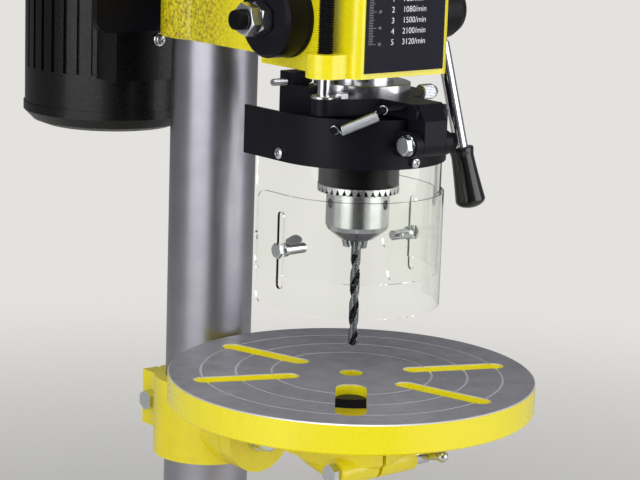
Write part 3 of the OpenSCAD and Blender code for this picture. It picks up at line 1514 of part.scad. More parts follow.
base();
column_flange();
flange_bolts();
column();
head_casting();
head_set_screws();
label_panel();
switch_plate();
switch_rocker();
motor_plate();
motor_slide_rods();
motor_housing();
motor_end_caps();
motor_shaft();
motor_pulley();
spindle_pulley();
pulley_sleeve();
pulley_bearings();
v_belt();
cover_pan();
cover_lid();
cover_hinge_pin();
cover_knob();
pinion_shaft();
feed_hub();
feed_levers();
lever_knobs();
spring_cup();
return_spring();
cup_nuts();
quill();
quill_ring();
quill_bearings();
spindle();
chuck_body();
chuck_sleeve();
chuck_ring();
chuck_jaw_1();
chuck_jaw_2();
chuck_jaw_3();
twist_drill();
guard_collar();
collar_screws();
depth_rod();
depth_nuts();
guard_band();
guard_hinge_bolt();
guard_spring();
inner_sheet();
outer_sheet();
guard_screws();
wing_screws();
table_bracket();
bracket_clamp();
table_arm();
tilt_bolt();
table();
table_stem();
table_lock();
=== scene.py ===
"""Looks of a benchtop drill press: finishes, fine pieces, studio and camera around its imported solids."""
import logging
import math
from dataclasses import dataclass
from enum import Enum
from typing import Any

import bpy
import numpy as np
from mathutils import Matrix, Vector


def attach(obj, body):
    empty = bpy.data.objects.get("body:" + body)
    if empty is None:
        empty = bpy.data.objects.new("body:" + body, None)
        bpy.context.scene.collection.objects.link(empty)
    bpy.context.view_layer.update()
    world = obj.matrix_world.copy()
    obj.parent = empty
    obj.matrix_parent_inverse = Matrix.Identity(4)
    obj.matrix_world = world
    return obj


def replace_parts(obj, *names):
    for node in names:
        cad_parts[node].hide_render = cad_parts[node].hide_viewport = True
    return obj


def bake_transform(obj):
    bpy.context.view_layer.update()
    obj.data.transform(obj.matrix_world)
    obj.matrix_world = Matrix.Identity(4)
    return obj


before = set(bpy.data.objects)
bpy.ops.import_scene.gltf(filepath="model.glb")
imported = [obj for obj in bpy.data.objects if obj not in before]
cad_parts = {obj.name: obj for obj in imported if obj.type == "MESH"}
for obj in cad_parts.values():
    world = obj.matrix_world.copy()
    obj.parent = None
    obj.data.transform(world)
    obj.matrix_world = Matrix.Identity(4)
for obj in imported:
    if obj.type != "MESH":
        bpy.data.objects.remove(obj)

log = logging.getLogger("drill_press")

Pair = tuple[float, float]
Triple = tuple[float, float, float]
Tree = bpy.types.NodeTree
Node = bpy.types.Node
Socket = bpy.types.NodeSocket

MM = 0.001
TURN = 2 * np.pi
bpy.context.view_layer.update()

# Axes that the pieces share, in millimetres
SPINDLE = np.array([0.0, -45.0, 0.0])
COLUMN = np.array([0.0, 112.0, 0.0])
PINION = np.array([0.0, -16.55, 527.0])
ROD = np.array([-48.0, -65.0, 0.0])
GUARD = np.array([-3.4, -45.0, 0.0])

# Stretches of noise that tone and polish follow, and of the match of normals over which an edge takes its
# edge tone, partly wear and partly painted highlight
TONE_RANGE = (0.35, 0.65)
POLISH_RANGE = (0.3, 0.7)
EDGE_WEAR_AND_HIGHLIGHT_RANGE = (0.995, 0.9)
COAT_ROUGHNESS = 0.06
# Blender's wave texture multiplies distance by this much
WAVE_FACTOR = 20
# Thickness of printed figures over and under their face, in millimetres
INK_MM = 0.02


class Slot(Enum):
    """The record's material slots, one named on each finish."""

    YELLOW = "yellow_enamel"
    BLACK = "black_enamel"
    BRIGHT = "bright_steel"
    GROUND = "ground_steel"
    CHROME = "chrome"
    OXIDE = "black_oxide"
    CLEAR = "clear_plastic"
    PLASTIC = "black_plastic"
    RED = "red_plastic"
    LABEL = "label_film"
    RUBBER = "belt_rubber"
    ALUMINIUM = "cast_aluminium"


class Lay(Enum):
    """Which way the tool marks run: how tightly a streak pattern is squeezed along X, Y and Z."""

    NONE = (1.0, 1.0, 1.0)
    ROUND_Z = (0.04, 0.04, 1.0)
    ALONG_Z = (1.0, 1.0, 0.01)


def linear(code: str) -> tuple[float, float, float, float]:
    """Turn an sRGB hex colour into linear RGBA.

    Args:
        code: Six hex digits after a hash sign.

    Returns:
        Linear red, green and blue with full alpha.
    """
    srgb = np.array([int(code[i:i + 2], 16) / 255 for i in (1, 3, 5)])
    low, high = srgb / 12.92, ((srgb + 0.055) / 1.055) ** 2.4
    return (*np.where(srgb <= 0.04045, low, high).tolist(), 1.0)


def set_inputs(tree: Tree, node: Node, inputs: dict[Any, Any]) -> None:
    """Set or link the inputs of a node.

    Args:
        tree: The node's tree.
        node: The node.
        inputs: Values or output sockets by input name or number.
    """
    for name, value in inputs.items():
        if isinstance(value, Socket):
            tree.links.new(value, node.inputs[name])
        else:
            node.inputs[name].default_value = value


def add_node(tree: Tree, kind: str, inputs: dict[Any, Any] | None = None, **settings: Any) -> Node:
    """Add one shader node with its settings, and set or link its inputs.

    Args:
        tree: The node tree that gets the node.
        kind: Blender's name of the node type.
        inputs: Values or output sockets by input name or number.
        **settings: Properties of the node itself.

    Returns:
        The new node.
    """
    made = tree.nodes.new(kind)
    for name, value in settings.items():
        setattr(made, name, value)
    set_inputs(tree, made, inputs or {})
    return made


def object_place(tree: Tree) -> Socket:
    """Give the object coordinates."""
    return add_node(tree, "ShaderNodeTexCoord").outputs["Object"]


def noise(tree: Tree, place: Socket, size_mm: float, detail: float, roughness: float = 0.5) -> Socket:
    """Give a noise pattern of a size in millimetres."""
    inputs = {"Vector": place, "Scale": 1 / (size_mm * MM), "Detail": detail, "Roughness": roughness}
    return add_node(tree, "ShaderNodeTexNoise", inputs).outputs["Fac"]


def remap(tree: Tree, value: Socket, span: Pair, to: Pair = (0.0, 1.0), **settings: Any) -> Socket:
    """Carry a value from one span to another."""
    ends = {"From Min": span[0], "From Max": span[1], "To Min": to[0], "To Max": to[1]}
    return add_node(tree, "ShaderNodeMapRange", {"Value": value, **ends}, **settings).outputs["Result"]


def tinted(tree: Tree, share: Any, first: Any, second: Any, **settings: Any) -> Socket:
    """Mix the second colour into the first by a share."""
    return add_node(tree, "ShaderNodeMix", {0: share, 6: first, 7: second}, data_type="RGBA",
                    **settings).outputs[2]


def reckon(tree: Tree, operation: str, first: Any, second: Any = 0.0) -> Socket:
    """Do one step of arithmetic."""
    return add_node(tree, "ShaderNodeMath", {0: first, 1: second}, operation=operation).outputs[0]


def bumped(tree: Tree, height: Socket, high_mm: float, strength: Any = 1.0,
           under: Socket | None = None) -> Socket:
    """Give the normal of a bump, laid over another normal if there is one."""
    below = {} if under is None else {"Normal": under}
    return add_node(tree, "ShaderNodeBump", {
        "Height": height, "Distance": high_mm * MM, "Strength": strength, **below}).outputs["Normal"]


def source(shader: Node, name: str) -> Socket:
    """Give the socket that feeds a shader's input."""
    return shader.inputs[name].links[0].from_socket


@dataclass(frozen=True)
class Finish:
    """A surface as made: base colour, gloss, mottle, grain, tool marks, and an edge tone that is partly wear
    and partly painted highlight.

    Sizes are in millimetres. The mottle is slow change of tone, the grain is the bump of the surface,
    the marks are streaks left by a tool along a lay, and the edge tone is partly wear and partly painted
    highlight.
    A finish of the studio has no slot.
    """

    name: str
    slot: Slot | None
    colour: str
    second: str
    roughness: float
    metallic: float = 0.0
    spread: float = 0.08
    coat: float = 0.0
    gloss: float = 0.5
    mottle_mm: float = 30.0
    mottle: float = 0.5
    grain_mm: float = 2.0
    grain_high: float = 0.02
    marks_mm: float = 0.0
    marks_high: float = 0.0
    lay: Lay = Lay.NONE
    edge: str = ""
    edge_mm: float = 0.5
    edge_share: float = 0.5

    def material(self) -> bpy.types.Material:
        """Make this finish a material at its first use.

        Returns:
            The material.
        """
        made = bpy.data.materials.get(self.name)
        if made is None:
            made = bpy.data.materials.new(self.name)
            made.use_nodes = True
            self.paint(made.node_tree)
        return made

    def paint(self, tree: Tree) -> Node:
        """Fill a material's node tree.

        Args:
            tree: The tree of a new material, with its shader and output.

        Returns:
            The Principled shader.
        """
        shader = tree.nodes["Principled BSDF"]
        place = object_place(tree)
        slow = noise(tree, place, self.mottle_mm, 4.0, 0.55)
        tone = remap(tree, slow, TONE_RANGE, (0.0, self.mottle))
        colour = tinted(tree, tone, linear(self.colour), linear(self.second))
        if self.edge:
            colour = self.worn(tree, colour)
        grain = noise(tree, place, self.grain_mm, 3.0)
        normal = bumped(tree, grain, self.grain_high)
        if self.marks_mm:
            normal = self.marked(tree, place, normal)
        polish = remap(tree, grain, POLISH_RANGE,
                       (self.roughness - self.spread, self.roughness + self.spread))
        set_inputs(tree, shader, {
            "Base Color": colour, "Metallic": self.metallic, "Roughness": polish, "Normal": normal,
            "Specular IOR Level": self.gloss, "Coat Weight": self.coat, "Coat Roughness": COAT_ROUGHNESS})
        return shader

    def worn(self, tree: Tree, colour: Socket) -> Socket:
        """Mix the edge tone in where a rounded normal departs from the flat one: partly wear, partly a
        painted highlight.

        Args:
            tree: The material's tree.
            colour: The colour away from edges.

        Returns:
            The colour with its edges in the edge tone, partly wear and partly painted highlight.
        """
        flat = add_node(tree, "ShaderNodeNewGeometry").outputs["Normal"]
        soft = add_node(tree, "ShaderNodeBevel", {"Radius": self.edge_mm * MM}, samples=4)
        match = add_node(tree, "ShaderNodeVectorMath", {0: flat, 1: soft.outputs["Normal"]},
                         operation="DOT_PRODUCT")
        share = remap(tree, match.outputs["Value"], EDGE_WEAR_AND_HIGHLIGHT_RANGE, (0.0, self.edge_share))
        return tinted(tree, share, colour, linear(self.edge))

    def marked(self, tree: Tree, place: Socket, under: Socket) -> Socket:
        """Lay streaks of tool marks over a bump.

        Args:
            tree: The material's tree.
            place: The object coordinates.
            under: The normal of the grain below.

        Returns:
            The normal of both.
        """
        squeezed = add_node(tree, "ShaderNodeMapping", {"Vector": place, "Scale": self.lay.value})
        streak = noise(tree, squeezed.outputs["Vector"], self.marks_mm, 5.0, 0.65)
        return bumped(tree, streak, self.marks_high, under=under)


@dataclass(frozen=True)
class FacedIron(Finish):
    """Painted casting whose top face is turned bare: enamel below, iron with tool rings above, and groove
    floors painted pale as a highlight.
    """

    top_mm: float = 295.0
    skin_mm: float = 0.86
    iron: str = "#A9A8AD"
    iron_second: str = "#96959B"
    # Painted highlight: the pale tone of the groove floors
    groove: str = "#E2E2E5"
    groove_mm: float = 0.25
    iron_metal: float = 0.6
    iron_roughness: float = 0.46
    iron_spread: float = 0.08
    stain_mm: float = 18.0
    stain_range: Pair = (0.35, 0.68)
    ring_mm: float = 1.6
    ring_high: float = 0.006
    ring_share: float = 0.07
    ring_waver: float = 0.6

    def paint(self, tree: Tree) -> Node:
        """Paint the enamel, then bare all that lies within the lathe's cut at the top of the casting, and
        paint the groove floors pale as a painted highlight.

        Args:
            tree: The tree of a new material.

        Returns:
            The Principled shader.
        """
        shader = super().paint(tree)
        place = object_place(tree)
        height = add_node(tree, "ShaderNodeSeparateXYZ", {"Vector": place}).outputs["Z"]
        bare = reckon(tree, "GREATER_THAN", height, (self.top_mm - self.skin_mm) * MM)
        # Painted highlight: everything more than groove_mm below the face is painted pale
        groove_highlight_mask = reckon(tree, "LESS_THAN", height, (self.top_mm - self.groove_mm) * MM)
        centred = add_node(tree, "ShaderNodeMapping", {"Vector": place, "Location": tuple(-SPINDLE * MM)})
        rings = add_node(tree, "ShaderNodeTexWave", {
            "Vector": centred.outputs["Vector"], "Scale": TURN / WAVE_FACTOR / (self.ring_mm * MM),
            "Distortion": self.ring_waver, "Detail": 2.0}, wave_type="RINGS", rings_direction="Z")
        stain = noise(tree, place, self.stain_mm, 7.0, 0.62)
        stained = remap(tree, stain, self.stain_range)
        metal = tinted(tree, stained, linear(self.iron), linear(self.iron_second))
        lined = tinted(tree, self.ring_share, metal, rings.outputs["Color"], blend_type="OVERLAY")
        turned = tinted(tree, groove_highlight_mask, lined, linear(self.groove))
        dull = remap(tree, stain, POLISH_RANGE, (self.iron_roughness - self.iron_spread,
                                                 self.iron_roughness + self.iron_spread))
        polish = add_node(tree, "ShaderNodeMix", {0: bare, 2: source(shader, "Roughness"), 3: dull},
                          data_type="FLOAT")
        painted = reckon(tree, "SUBTRACT", 1.0, bare)
        set_inputs(tree, shader, {
            "Base Color": tinted(tree, bare, source(shader, "Base Color"), turned),
            "Metallic": reckon(tree, "MULTIPLY", bare, self.iron_metal),
            "Coat Weight": reckon(tree, "MULTIPLY", painted, self.coat),
            "Roughness": polish.outputs[0],
            "Normal": bumped(tree, rings.outputs["Fac"], self.ring_high, bare, source(shader, "Normal"))})
        return shader


@dataclass(frozen=True)
class CastHead(Finish):
    """Enamelled head casting: smooth round the quill, and rough from the sand round the column, with painted
    shade in the pits between the lumps.
    """

    rough_from: float = 40.0
    rough_to: float = 75.0
    sand_mm: float = 2.6
    sand_high: float = 0.9
    # Painted shade: the dark tone mixed into the pits between the sand lumps, more towards the column
    pit: str = "#7E6A0E"
    pit_share: float = 0.88
    pit_range: Pair = (0.62, 0.36)

    def paint(self, tree: Tree) -> Node:
        """Paint the enamel, then towards the column along +Y raise sand lumps and paint shade into the pits
        between.

        Args:
            tree: The tree of a new material.

        Returns:
            The Principled shader.
        """
        shader = super().paint(tree)
        place = object_place(tree)
        along = add_node(tree, "ShaderNodeSeparateXYZ", {"Vector": place}).outputs["Y"]
        share = remap(tree, along, (self.rough_from * MM, self.rough_to * MM))
        sand = noise(tree, place, self.sand_mm, 4.0, 0.6)
        # Painted shade: the pits between the sand lumps darkened, more towards the column
        painted_pit_shade = reckon(tree, "MULTIPLY", remap(tree, sand, self.pit_range, (0.0, self.pit_share)), share)
        set_inputs(tree, shader, {
            "Base Color": tinted(tree, painted_pit_shade, source(shader, "Base Color"), linear(self.pit)),
            "Normal": bumped(tree, sand, self.sand_high, share, source(shader, "Normal"))})
        return shader


@dataclass(frozen=True)
class ClearSheet(Finish):
    """Clear bent plastic: light goes through, and fine rubbing dulls its glare a little."""

    ior: float = 1.49
    glare: str = "#8C8C8C"

    def paint(self, tree: Tree) -> Node:
        """Paint the sheet, then let light through it."""
        shader = super().paint(tree)
        set_inputs(tree, shader, {
            "Transmission Weight": 1.0, "IOR": self.ior, "Specular Tint": linear(self.glare)})
        return shader


@dataclass(frozen=True)
class GroundLands(Finish):
    """Dark in its flutes or gaps, with bright ground lands where the radius about the spindle is full."""

    land_mm: float = 2.95
    land_edge: float = 0.25
    bright: str = "#8D9096"
    bright_share: float = 0.55

    def paint(self, tree: Tree) -> Node:
        """Paint the dark tone, then bare the lands beyond a radius about the spindle's axis.

        Args:
            tree: The tree of a new material.

        Returns:
            The Principled shader.
        """
        shader = super().paint(tree)
        flat = add_node(tree, "ShaderNodeMapping", {
            "Vector": object_place(tree), "Location": tuple(-SPINDLE * MM), "Scale": (1.0, 1.0, 0.0)})
        radius = add_node(tree, "ShaderNodeVectorMath", {0: flat.outputs["Vector"]}, operation="LENGTH")
        land = remap(tree, radius.outputs["Value"], ((self.land_mm - self.land_edge) * MM, self.land_mm * MM),
                     (0.0, self.bright_share))
        set_inputs(tree, shader, {
            "Base Color": tinted(tree, land, source(shader, "Base Color"), linear(self.bright))})
        return shader


YELLOW_TONES = ("#EDE014", "#E5D50E")
# Paler yellow at every edge: partly wear, partly a painted highlight
YELLOW_EDGE_WEAR_AND_HIGHLIGHT = {"edge": "#F6EA58", "edge_mm": 0.7, "edge_share": 0.4}

# Gloss enamel on sand-cast iron: strong yellow, a wet shine, and the sand's lumps showing through
YELLOW = Finish("gloss_yellow_enamel_on_casting", Slot.YELLOW, *YELLOW_TONES, 0.3, coat=0.35, mottle_mm=45,
                grain_mm=2.6, grain_high=0.07, **YELLOW_EDGE_WEAR_AND_HIGHLIGHT)
# The same enamel on the head: smooth in front, coarse sand skin round the column with painted shade in its
# pits
HEAD_YELLOW = CastHead("gloss_yellow_enamel_on_head_casting", Slot.YELLOW, *YELLOW_TONES, 0.28, coat=0.4,
                       mottle_mm=45, grain_mm=3.2, grain_high=0.05, **YELLOW_EDGE_WEAR_AND_HIGHLIGHT)
# The same enamel where the casting was left rough from the sand: coarser lumps break the shine
ROUGH_YELLOW = Finish("gloss_yellow_enamel_on_rough_casting", Slot.YELLOW, "#E6D60F", "#D6C40C", 0.34,
                      coat=0.3, mottle_mm=22, grain_mm=2.4, grain_high=0.2, **YELLOW_EDGE_WEAR_AND_HIGHLIGHT)
# Enamel rim and slots round a face turned bare on a lathe: dull grey iron with fine rings, and a painted
# highlight in its grooves
TABLE_IRON = FacedIron("gloss_yellow_enamel_with_turned_iron_face", Slot.YELLOW, *YELLOW_TONES, 0.3,
                       coat=0.35, mottle_mm=45, grain_mm=1.5, grain_high=0.13)
# Satin black enamel on steel and castings: near black with a blue cast and soft wide highlights
BLACK = Finish("satin_black_enamel", Slot.BLACK, "#100F18", "#0C0B12", 0.4, gloss=0.15, mottle_mm=40,
               grain_mm=1.2, grain_high=0.008, edge="#282631")
# Black enamel on the motor's castings and the cover: deep black, a little glossier
MOTOR_BLACK = Finish("gloss_black_enamel", Slot.BLACK, "#09090B", "#060608", 0.32, gloss=0.26, coat=0.04,
                     mottle_mm=60, grain_mm=1.8, grain_high=0.02, edge="#26262C", edge_mm=0.6)
# Centreless ground steel tube: a grey mirror blurred by grinding, whose lines along it hardly show
COLUMN_STEEL = Finish("ground_steel_tube", Slot.GROUND, "#A09FA8", "#93929B", 0.33, metallic=1.0, spread=0.02,
                      mottle_mm=25, mottle=0.7, grain_mm=9, grain_high=0.0, marks_mm=3.0, marks_high=0.0001,
                      lay=Lay.ALONG_Z)
# Bright zinc on small hardware: pale silver with a faint uneven passivation
ZINC = Finish("bright_zinc_plate", Slot.BRIGHT, "#D2D4D8", "#BFC3CB", 0.22, metallic=1.0, spread=0.05,
              mottle_mm=5, grain_mm=1.6, grain_high=0.003, edge="#F0F1F3", edge_mm=0.25, edge_share=0.6)
# Turned steel about the spindle: bright with cut lines round it, drawn coarse enough to show
TURNED = Finish("turned_polished_steel", Slot.BRIGHT, "#CBCCCF", "#B9BABE", 0.2, metallic=1.0, spread=0.03,
                mottle_mm=12, grain_mm=1.5, grain_high=0.0008, marks_mm=1.2, marks_high=0.0015,
                lay=Lay.ROUND_Z, edge="#EDEEF0", edge_mm=0.3)
# Ground shafts and keyed pieces inside the machine: plain steel with an oily sheen
SHAFT = Finish("ground_shaft_steel", Slot.BRIGHT, "#A6A8AD", "#8E9096", 0.26, metallic=1.0, mottle_mm=20,
               grain_mm=1.6, grain_high=0.002, edge="#D0D2D6", edge_mm=0.3)
# Chrome plate on the lever rods: a clear mirror
CHROME = Finish("polished_chrome_plate", Slot.CHROME, "#DCDDE0", "#CFD1D5", 0.1, metallic=1.0, spread=0.03,
                mottle_mm=30, grain_mm=9, grain_high=0.001)
# Black oxide on turned steel: dark, oily, with lighter edges, partly wear and partly painted highlight
OXIDE = Finish("black_oxide_steel", Slot.OXIDE, "#0D0D0F", "#08080A", 0.36, gloss=0.08, mottle_mm=12,
               grain_mm=1.6, grain_high=0.0008, edge="#3A3C40", edge_mm=0.3)
# Black oxide high speed steel with ground lands: dark flutes and bright edges
DRILL_STEEL = GroundLands("black_oxide_tool_steel", Slot.OXIDE, "#202126", "#15161A", 0.24, metallic=0.75,
                          mottle_mm=8, grain_mm=0.8, grain_high=0.0015)
# Turned steel ring with cut teeth: bright tooth tops where the radius is full, near black everywhere else,
# the gaps too
TOOTHED_STEEL = GroundLands("turned_steel_with_cut_teeth", Slot.BRIGHT, "#0D0D0E", "#0A0A0B", 0.26,
                            metallic=1.0, spread=0.03, mottle_mm=6, grain_mm=1.5, grain_high=0.0004,
                            land_mm=26.35, bright="#CBCCCF", bright_share=1.0)
# Clear polycarbonate: next to no tint, with rubbing marks that soften reflections
CLEAR = ClearSheet("clear_polycarbonate", Slot.CLEAR, "#FEFFFD", "#FBFDFA", 0.03, spread=0.015, mottle_mm=50,
                   grain_mm=16, grain_high=0.001)
# Glossy moulded phenolic on the lever ends: deep black with a sharp highlight
PHENOLIC = Finish("moulded_black_phenolic", Slot.PLASTIC, "#060707", "#08090A", 0.2, spread=0.03, coat=0.2,
                  mottle_mm=25, grain_mm=5, grain_high=0.006)
# Textured moulded plastic: fine spark grain, dull sheen
BLACK_PLASTIC = Finish("moulded_black_abs", Slot.PLASTIC, "#161619", "#111113", 0.48, mottle_mm=30,
                       grain_mm=1.2, grain_high=0.02, edge="#333338", edge_mm=0.4)
# Moulded red rocker: clear warm red, soft gloss
RED_PLASTIC = Finish("moulded_red_abs", Slot.RED, "#B3121A", "#9C0D14", 0.3, coat=0.2, mottle_mm=20,
                     grain_mm=1.4, grain_high=0.008, edge="#D84A4C", edge_mm=0.4)
# Printed polyester film: dark blue-grey, even, lightly pebbled
LABEL_FILM = Finish("printed_polyester_film", Slot.LABEL, "#1A1926", "#161521", 0.45, gloss=0.1, mottle_mm=60,
                    grain_mm=1.2, grain_high=0.003, edge="#34333F", edge_mm=0.3)
# White screen ink: matt, slightly uneven where the squeegee passed
WHITE_INK = Finish("white_screen_ink", Slot.LABEL, "#E4E2E8", "#D2D0D8", 0.55, mottle_mm=3, grain_mm=0.8,
                   grain_high=0.002)
# Grey screen ink of the fine scale: the same ink thinner, so the film's tone shows through
GREY_INK = Finish("grey_screen_ink", Slot.LABEL, "#9B99A4", "#8B8995", 0.55, mottle_mm=3, grain_mm=0.8,
                  grain_high=0.002)
# Moulded belt rubber: dull black with cloth grain
RUBBER = Finish("moulded_belt_rubber", Slot.RUBBER, "#161616", "#1E1D1C", 0.78, mottle_mm=12, grain_mm=1.2,
                grain_high=0.05)
# Die-cast aluminium turned in the grooves: pale grey with lines round the axis
ALUMINIUM = Finish("turned_cast_aluminium", Slot.ALUMINIUM, "#C4C5C7", "#AEAFB2", 0.34, metallic=1.0,
                   mottle_mm=14, grain_mm=1.6, grain_high=0.004, marks_mm=1.2, marks_high=0.003,
                   lay=Lay.ROUND_Z)
# Matt backdrop paper on the studio's floor: pale and even, with a faint tooth
FLOOR_PAPER = Finish("matt_paper_floor", None, "#E4E2DE", "#DFDDD9", 0.85, gloss=0.2, mottle_mm=400,
                     grain_mm=2, grain_high=0.01)
# Black cotton card of the studio: next to no light comes back
DARK_CARD = Finish("black_cotton_card", None, "#1A191C", "#161518", 0.9, gloss=0.1, mottle_mm=80, grain_mm=2)


def put(name: str, data: bpy.types.ID) -> bpy.types.Object:
    """Make an object of a mesh, lamp, camera or text and put it into the scene.

    Args:
        name: The object's name.
        data: What it shows.

    Returns:
        The object.
    """
    made = bpy.data.objects.new(name, data)
    bpy.context.scene.collection.objects.link(made)
    return made


@dataclass
class Patch:
    """Part of a mesh: points in millimetres, with quads and triangles as rows of point numbers."""

    points: np.ndarray
    quads: np.ndarray
    tris: np.ndarray

    @classmethod
    def from_grid(cls, grid: np.ndarray, ring: bool = False) -> "Patch":
        """Join a grid of points into a closed skin.

        Point [i, j] lies at station i along the shape and at step j round it, counter-clockwise seen
        against the run of the stations. Steps close round. Stations close too if the shape is a ring,
        and otherwise a fan to the middle closes each end.

        Args:
            grid: Points as stations by steps by 3.
            ring: Whether the last station joins the first.

        Returns:
            The closed patch.
        """
        stations, steps = grid.shape[:2]
        number = np.arange(stations * steps).reshape(stations, steps)
        beside = np.roll(number, -1, axis=1)
        rows = stations if ring else stations - 1
        ahead, across = np.roll(number, -1, axis=0), np.roll(beside, -1, axis=0)
        quads = np.stack([number, beside, across, ahead], axis=-1)[:rows].reshape(-1, 4)
        points = grid.reshape(-1, 3)
        if ring:
            return cls(points, quads, np.zeros((0, 3), int))
        ends = np.stack([grid[0].mean(axis=0), grid[-1].mean(axis=0)])
        first, last = np.full(steps, len(points)), np.full(steps, len(points) + 1)
        tris = np.vstack([np.stack([first, beside[0], number[0]], axis=1),
                          np.stack([last, number[-1], beside[-1]], axis=1)])
        return cls(np.vstack([points, ends]), quads, tris)

    def placed(self, at: Any, along: Any = (0, 0, 1), spin: float = 0.0) -> "Patch":
        """Turn local +Z to a direction and move the origin, after a spin about +Z in degrees."""
        turn = Vector(along).to_track_quat("Z", "Y").to_matrix() @ Matrix.Rotation(math.radians(spin), 3, "Z")
        return Patch(self.points @ np.array(turn).T + np.asarray(at), self.quads, self.tris)

    def __add__(self, other: "Patch") -> "Patch":
        """Put two patches into one."""
        shift = len(self.points)
        return Patch(np.vstack([self.points, other.points]), np.vstack([self.quads, other.quads + shift]),
                     np.vstack([self.tris, other.tris + shift]))

    def piece(self, name: str, finish: Finish, body: str | None, sharp: float = 32.0) -> bpy.types.Object:
        """Make the patch an object that rides on a body.

        Args:
            name: The piece's name.
            finish: Its finish.
            body: The CAD body that carries it, or nothing to leave it unattached.
            sharp: The angle between faces, in degrees, past which an edge stays sharp.

        Returns:
            The object.
        """
        mesh = bpy.data.meshes.new(name)
        mesh.from_pydata((self.points * MM).tolist(), [], self.quads.tolist() + self.tris.tolist())
        mesh.shade_smooth()
        mesh.set_sharp_from_angle(angle=math.radians(sharp))
        mesh.materials.append(finish.material())
        made = put(name, mesh)
        if body:
            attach(made, body)
        log.info("%s: %d points on %s", name, len(self.points), body or "two bodies")
        return made


def merged(patches: list[Patch]) -> Patch:
    """Put several patches into one."""
    return sum(patches[1:], patches[0])


def round_steps(count: int) -> np.ndarray:
    """Part a full turn into equal steps."""
    return np.linspace(0, TURN, count, endpoint=False)


def polar(radius: Any, angle: np.ndarray, height: Any) -> np.ndarray:
    """Give points about +Z: x = r cos a, y = r sin a, z = h."""
    return np.stack([radius * np.cos(angle), radius * np.sin(angle), height + 0 * angle], axis=-1)


def revolve(profile: Any, steps: int = 64) -> np.ndarray:
    """Carry rows of radius and height round +Z: a grid with one station for each row."""
    rows = np.asarray(profile, float)
    return polar(rows[:, :1], round_steps(steps), rows[:, 1:])


def ring_grid(rings: list[tuple[Any, Any]], angle: np.ndarray) -> np.ndarray:
    """Stack rings whose radius and height may change with the angle.

    Args:
        rings: Radius and height of each station, each a number or one number per angle.
        angle: The angles of the steps.

    Returns:
        The grid.
    """
    radius = np.stack([r + 0 * angle for r, _ in rings])
    height = np.stack([h + 0 * angle for _, h in rings])
    return polar(radius, angle, height)


def hexagon(angle: np.ndarray, across: float) -> np.ndarray:
    """Distance from a hexagon's middle to its side: half the flats over the cosine to the nearest flat."""
    return across / 2 / np.cos((angle + np.pi / 6) % (np.pi / 3) - np.pi / 6)


def hex_nut(across: float, height: float, bore: float) -> Patch:
    """A nut with both faces chamfered, or a bolt head where the bore is nothing.

    A 30 degree cone leaves a circle just inside the flats on each face, so the chamfer drops by the
    hexagon's distance beyond that circle times the tangent, and runs down the corners as curves.

    Args:
        across: Width over the flats.
        height: Height along +Z.
        bore: Radius of the hole, or 0.

    Returns:
        The closed patch, standing on z = 0.
    """
    angle = round_steps(96)
    side = hexagon(angle, across)
    circle = 0.475 * across
    inner = circle - 0.4
    drop = (side - circle) * math.tan(math.radians(30))
    skin = [(inner, 0.0), (circle, 0.0), (side, drop), (side, height - drop), (circle, height),
            (inner, height)]
    if not bore:
        return Patch.from_grid(ring_grid(skin, angle))
    sink = min(0.8, height * 0.12)
    hole = [(bore + sink, height), (bore, height - sink), (bore, sink), (bore + sink, 0.0)]
    return Patch.from_grid(ring_grid(skin + hole, angle), ring=True)


def washer(outer: float, bore: float, thick: float) -> Patch:
    """A punched washer: a flat ring whose outer edges are rolled over a little.

    Args:
        outer: Outer radius.
        bore: Radius of the hole.
        thick: Thickness along +Z.

    Returns:
        The closed patch, standing on z = 0.
    """
    roll = min(0.35, thick * 0.3)
    profile = [(bore, 0), (outer - roll, 0), (outer, roll), (outer, thick - roll), (outer - roll, thick),
               (bore, thick)]
    return Patch.from_grid(revolve(profile), ring=True)


def thread(radius: float, depth: float, pitch: float, low: float, high: float) -> Patch:
    """A screw thread along +Z, tapered to its root at both ends.

    The radius at height h and angle a falls from the crest by the depth times a ridge of the helix
    phase f = frac(h / pitch - a / 2 pi): the ridge is a triangle of f with its tips cut flat.

    Args:
        radius: Radius of the crests.
        depth: Crest to root.
        pitch: Rise of one turn.
        low: Lower end.
        high: Upper end.

    Returns:
        The closed patch.
    """
    angle, stations_per_turn = round_steps(40), 8
    count = int(np.ceil((high - low) / pitch * stations_per_turn)) + 1
    height = np.linspace(low, high, count)[:, None]
    phase = (height / pitch - angle / TURN) % 1.0
    ridge = np.clip(np.abs(2 * phase - 1) * 1.4 - 0.2, 0, 1)
    fade = np.clip(np.minimum(height - low, high - height) / pitch, 0, 1)
    return Patch.from_grid(polar(radius - depth * np.maximum(ridge, 1 - fade), angle, height))


def pan_head(radius: float, height: float) -> Patch:
    """A pan head with a cross recess.

    The skin rises up the rim and over a dome h = height (1 - 0.38 (r / R)^4). A cross of two bars, each
    a tapering slot, is pressed in: its depth is the product of a step across the bar and a slope to the
    recess' end.

    Args:
        radius: Radius of the head.
        height: Height of the crown over the seat.

    Returns:
        The closed patch, standing on z = 0.
    """
    angle = round_steps(96)
    share = np.concatenate([[1.0, 1.0], np.linspace(1.0, 0.02, 26)])[:, None]
    dome = height * (1 - 0.38 * share ** 4)
    dome[0] = 0.0
    dome[1] = height * 0.45
    across, along = share * radius * np.cos(angle), share * radius * np.sin(angle)
    narrow = np.minimum(np.abs(across), np.abs(along))
    far = np.maximum(np.abs(across), np.abs(along))
    half, wall, reach, slope = np.array([0.15, 0.05, 0.62, 0.22]) * radius
    depth = 0.55 * height
    bar = np.clip((half - narrow) / wall + 0.5, 0, 1)
    pit = bar * np.clip((reach - far) / slope, 0, 1)
    return Patch.from_grid(np.stack([across, along, dome - pit * depth], axis=-1))


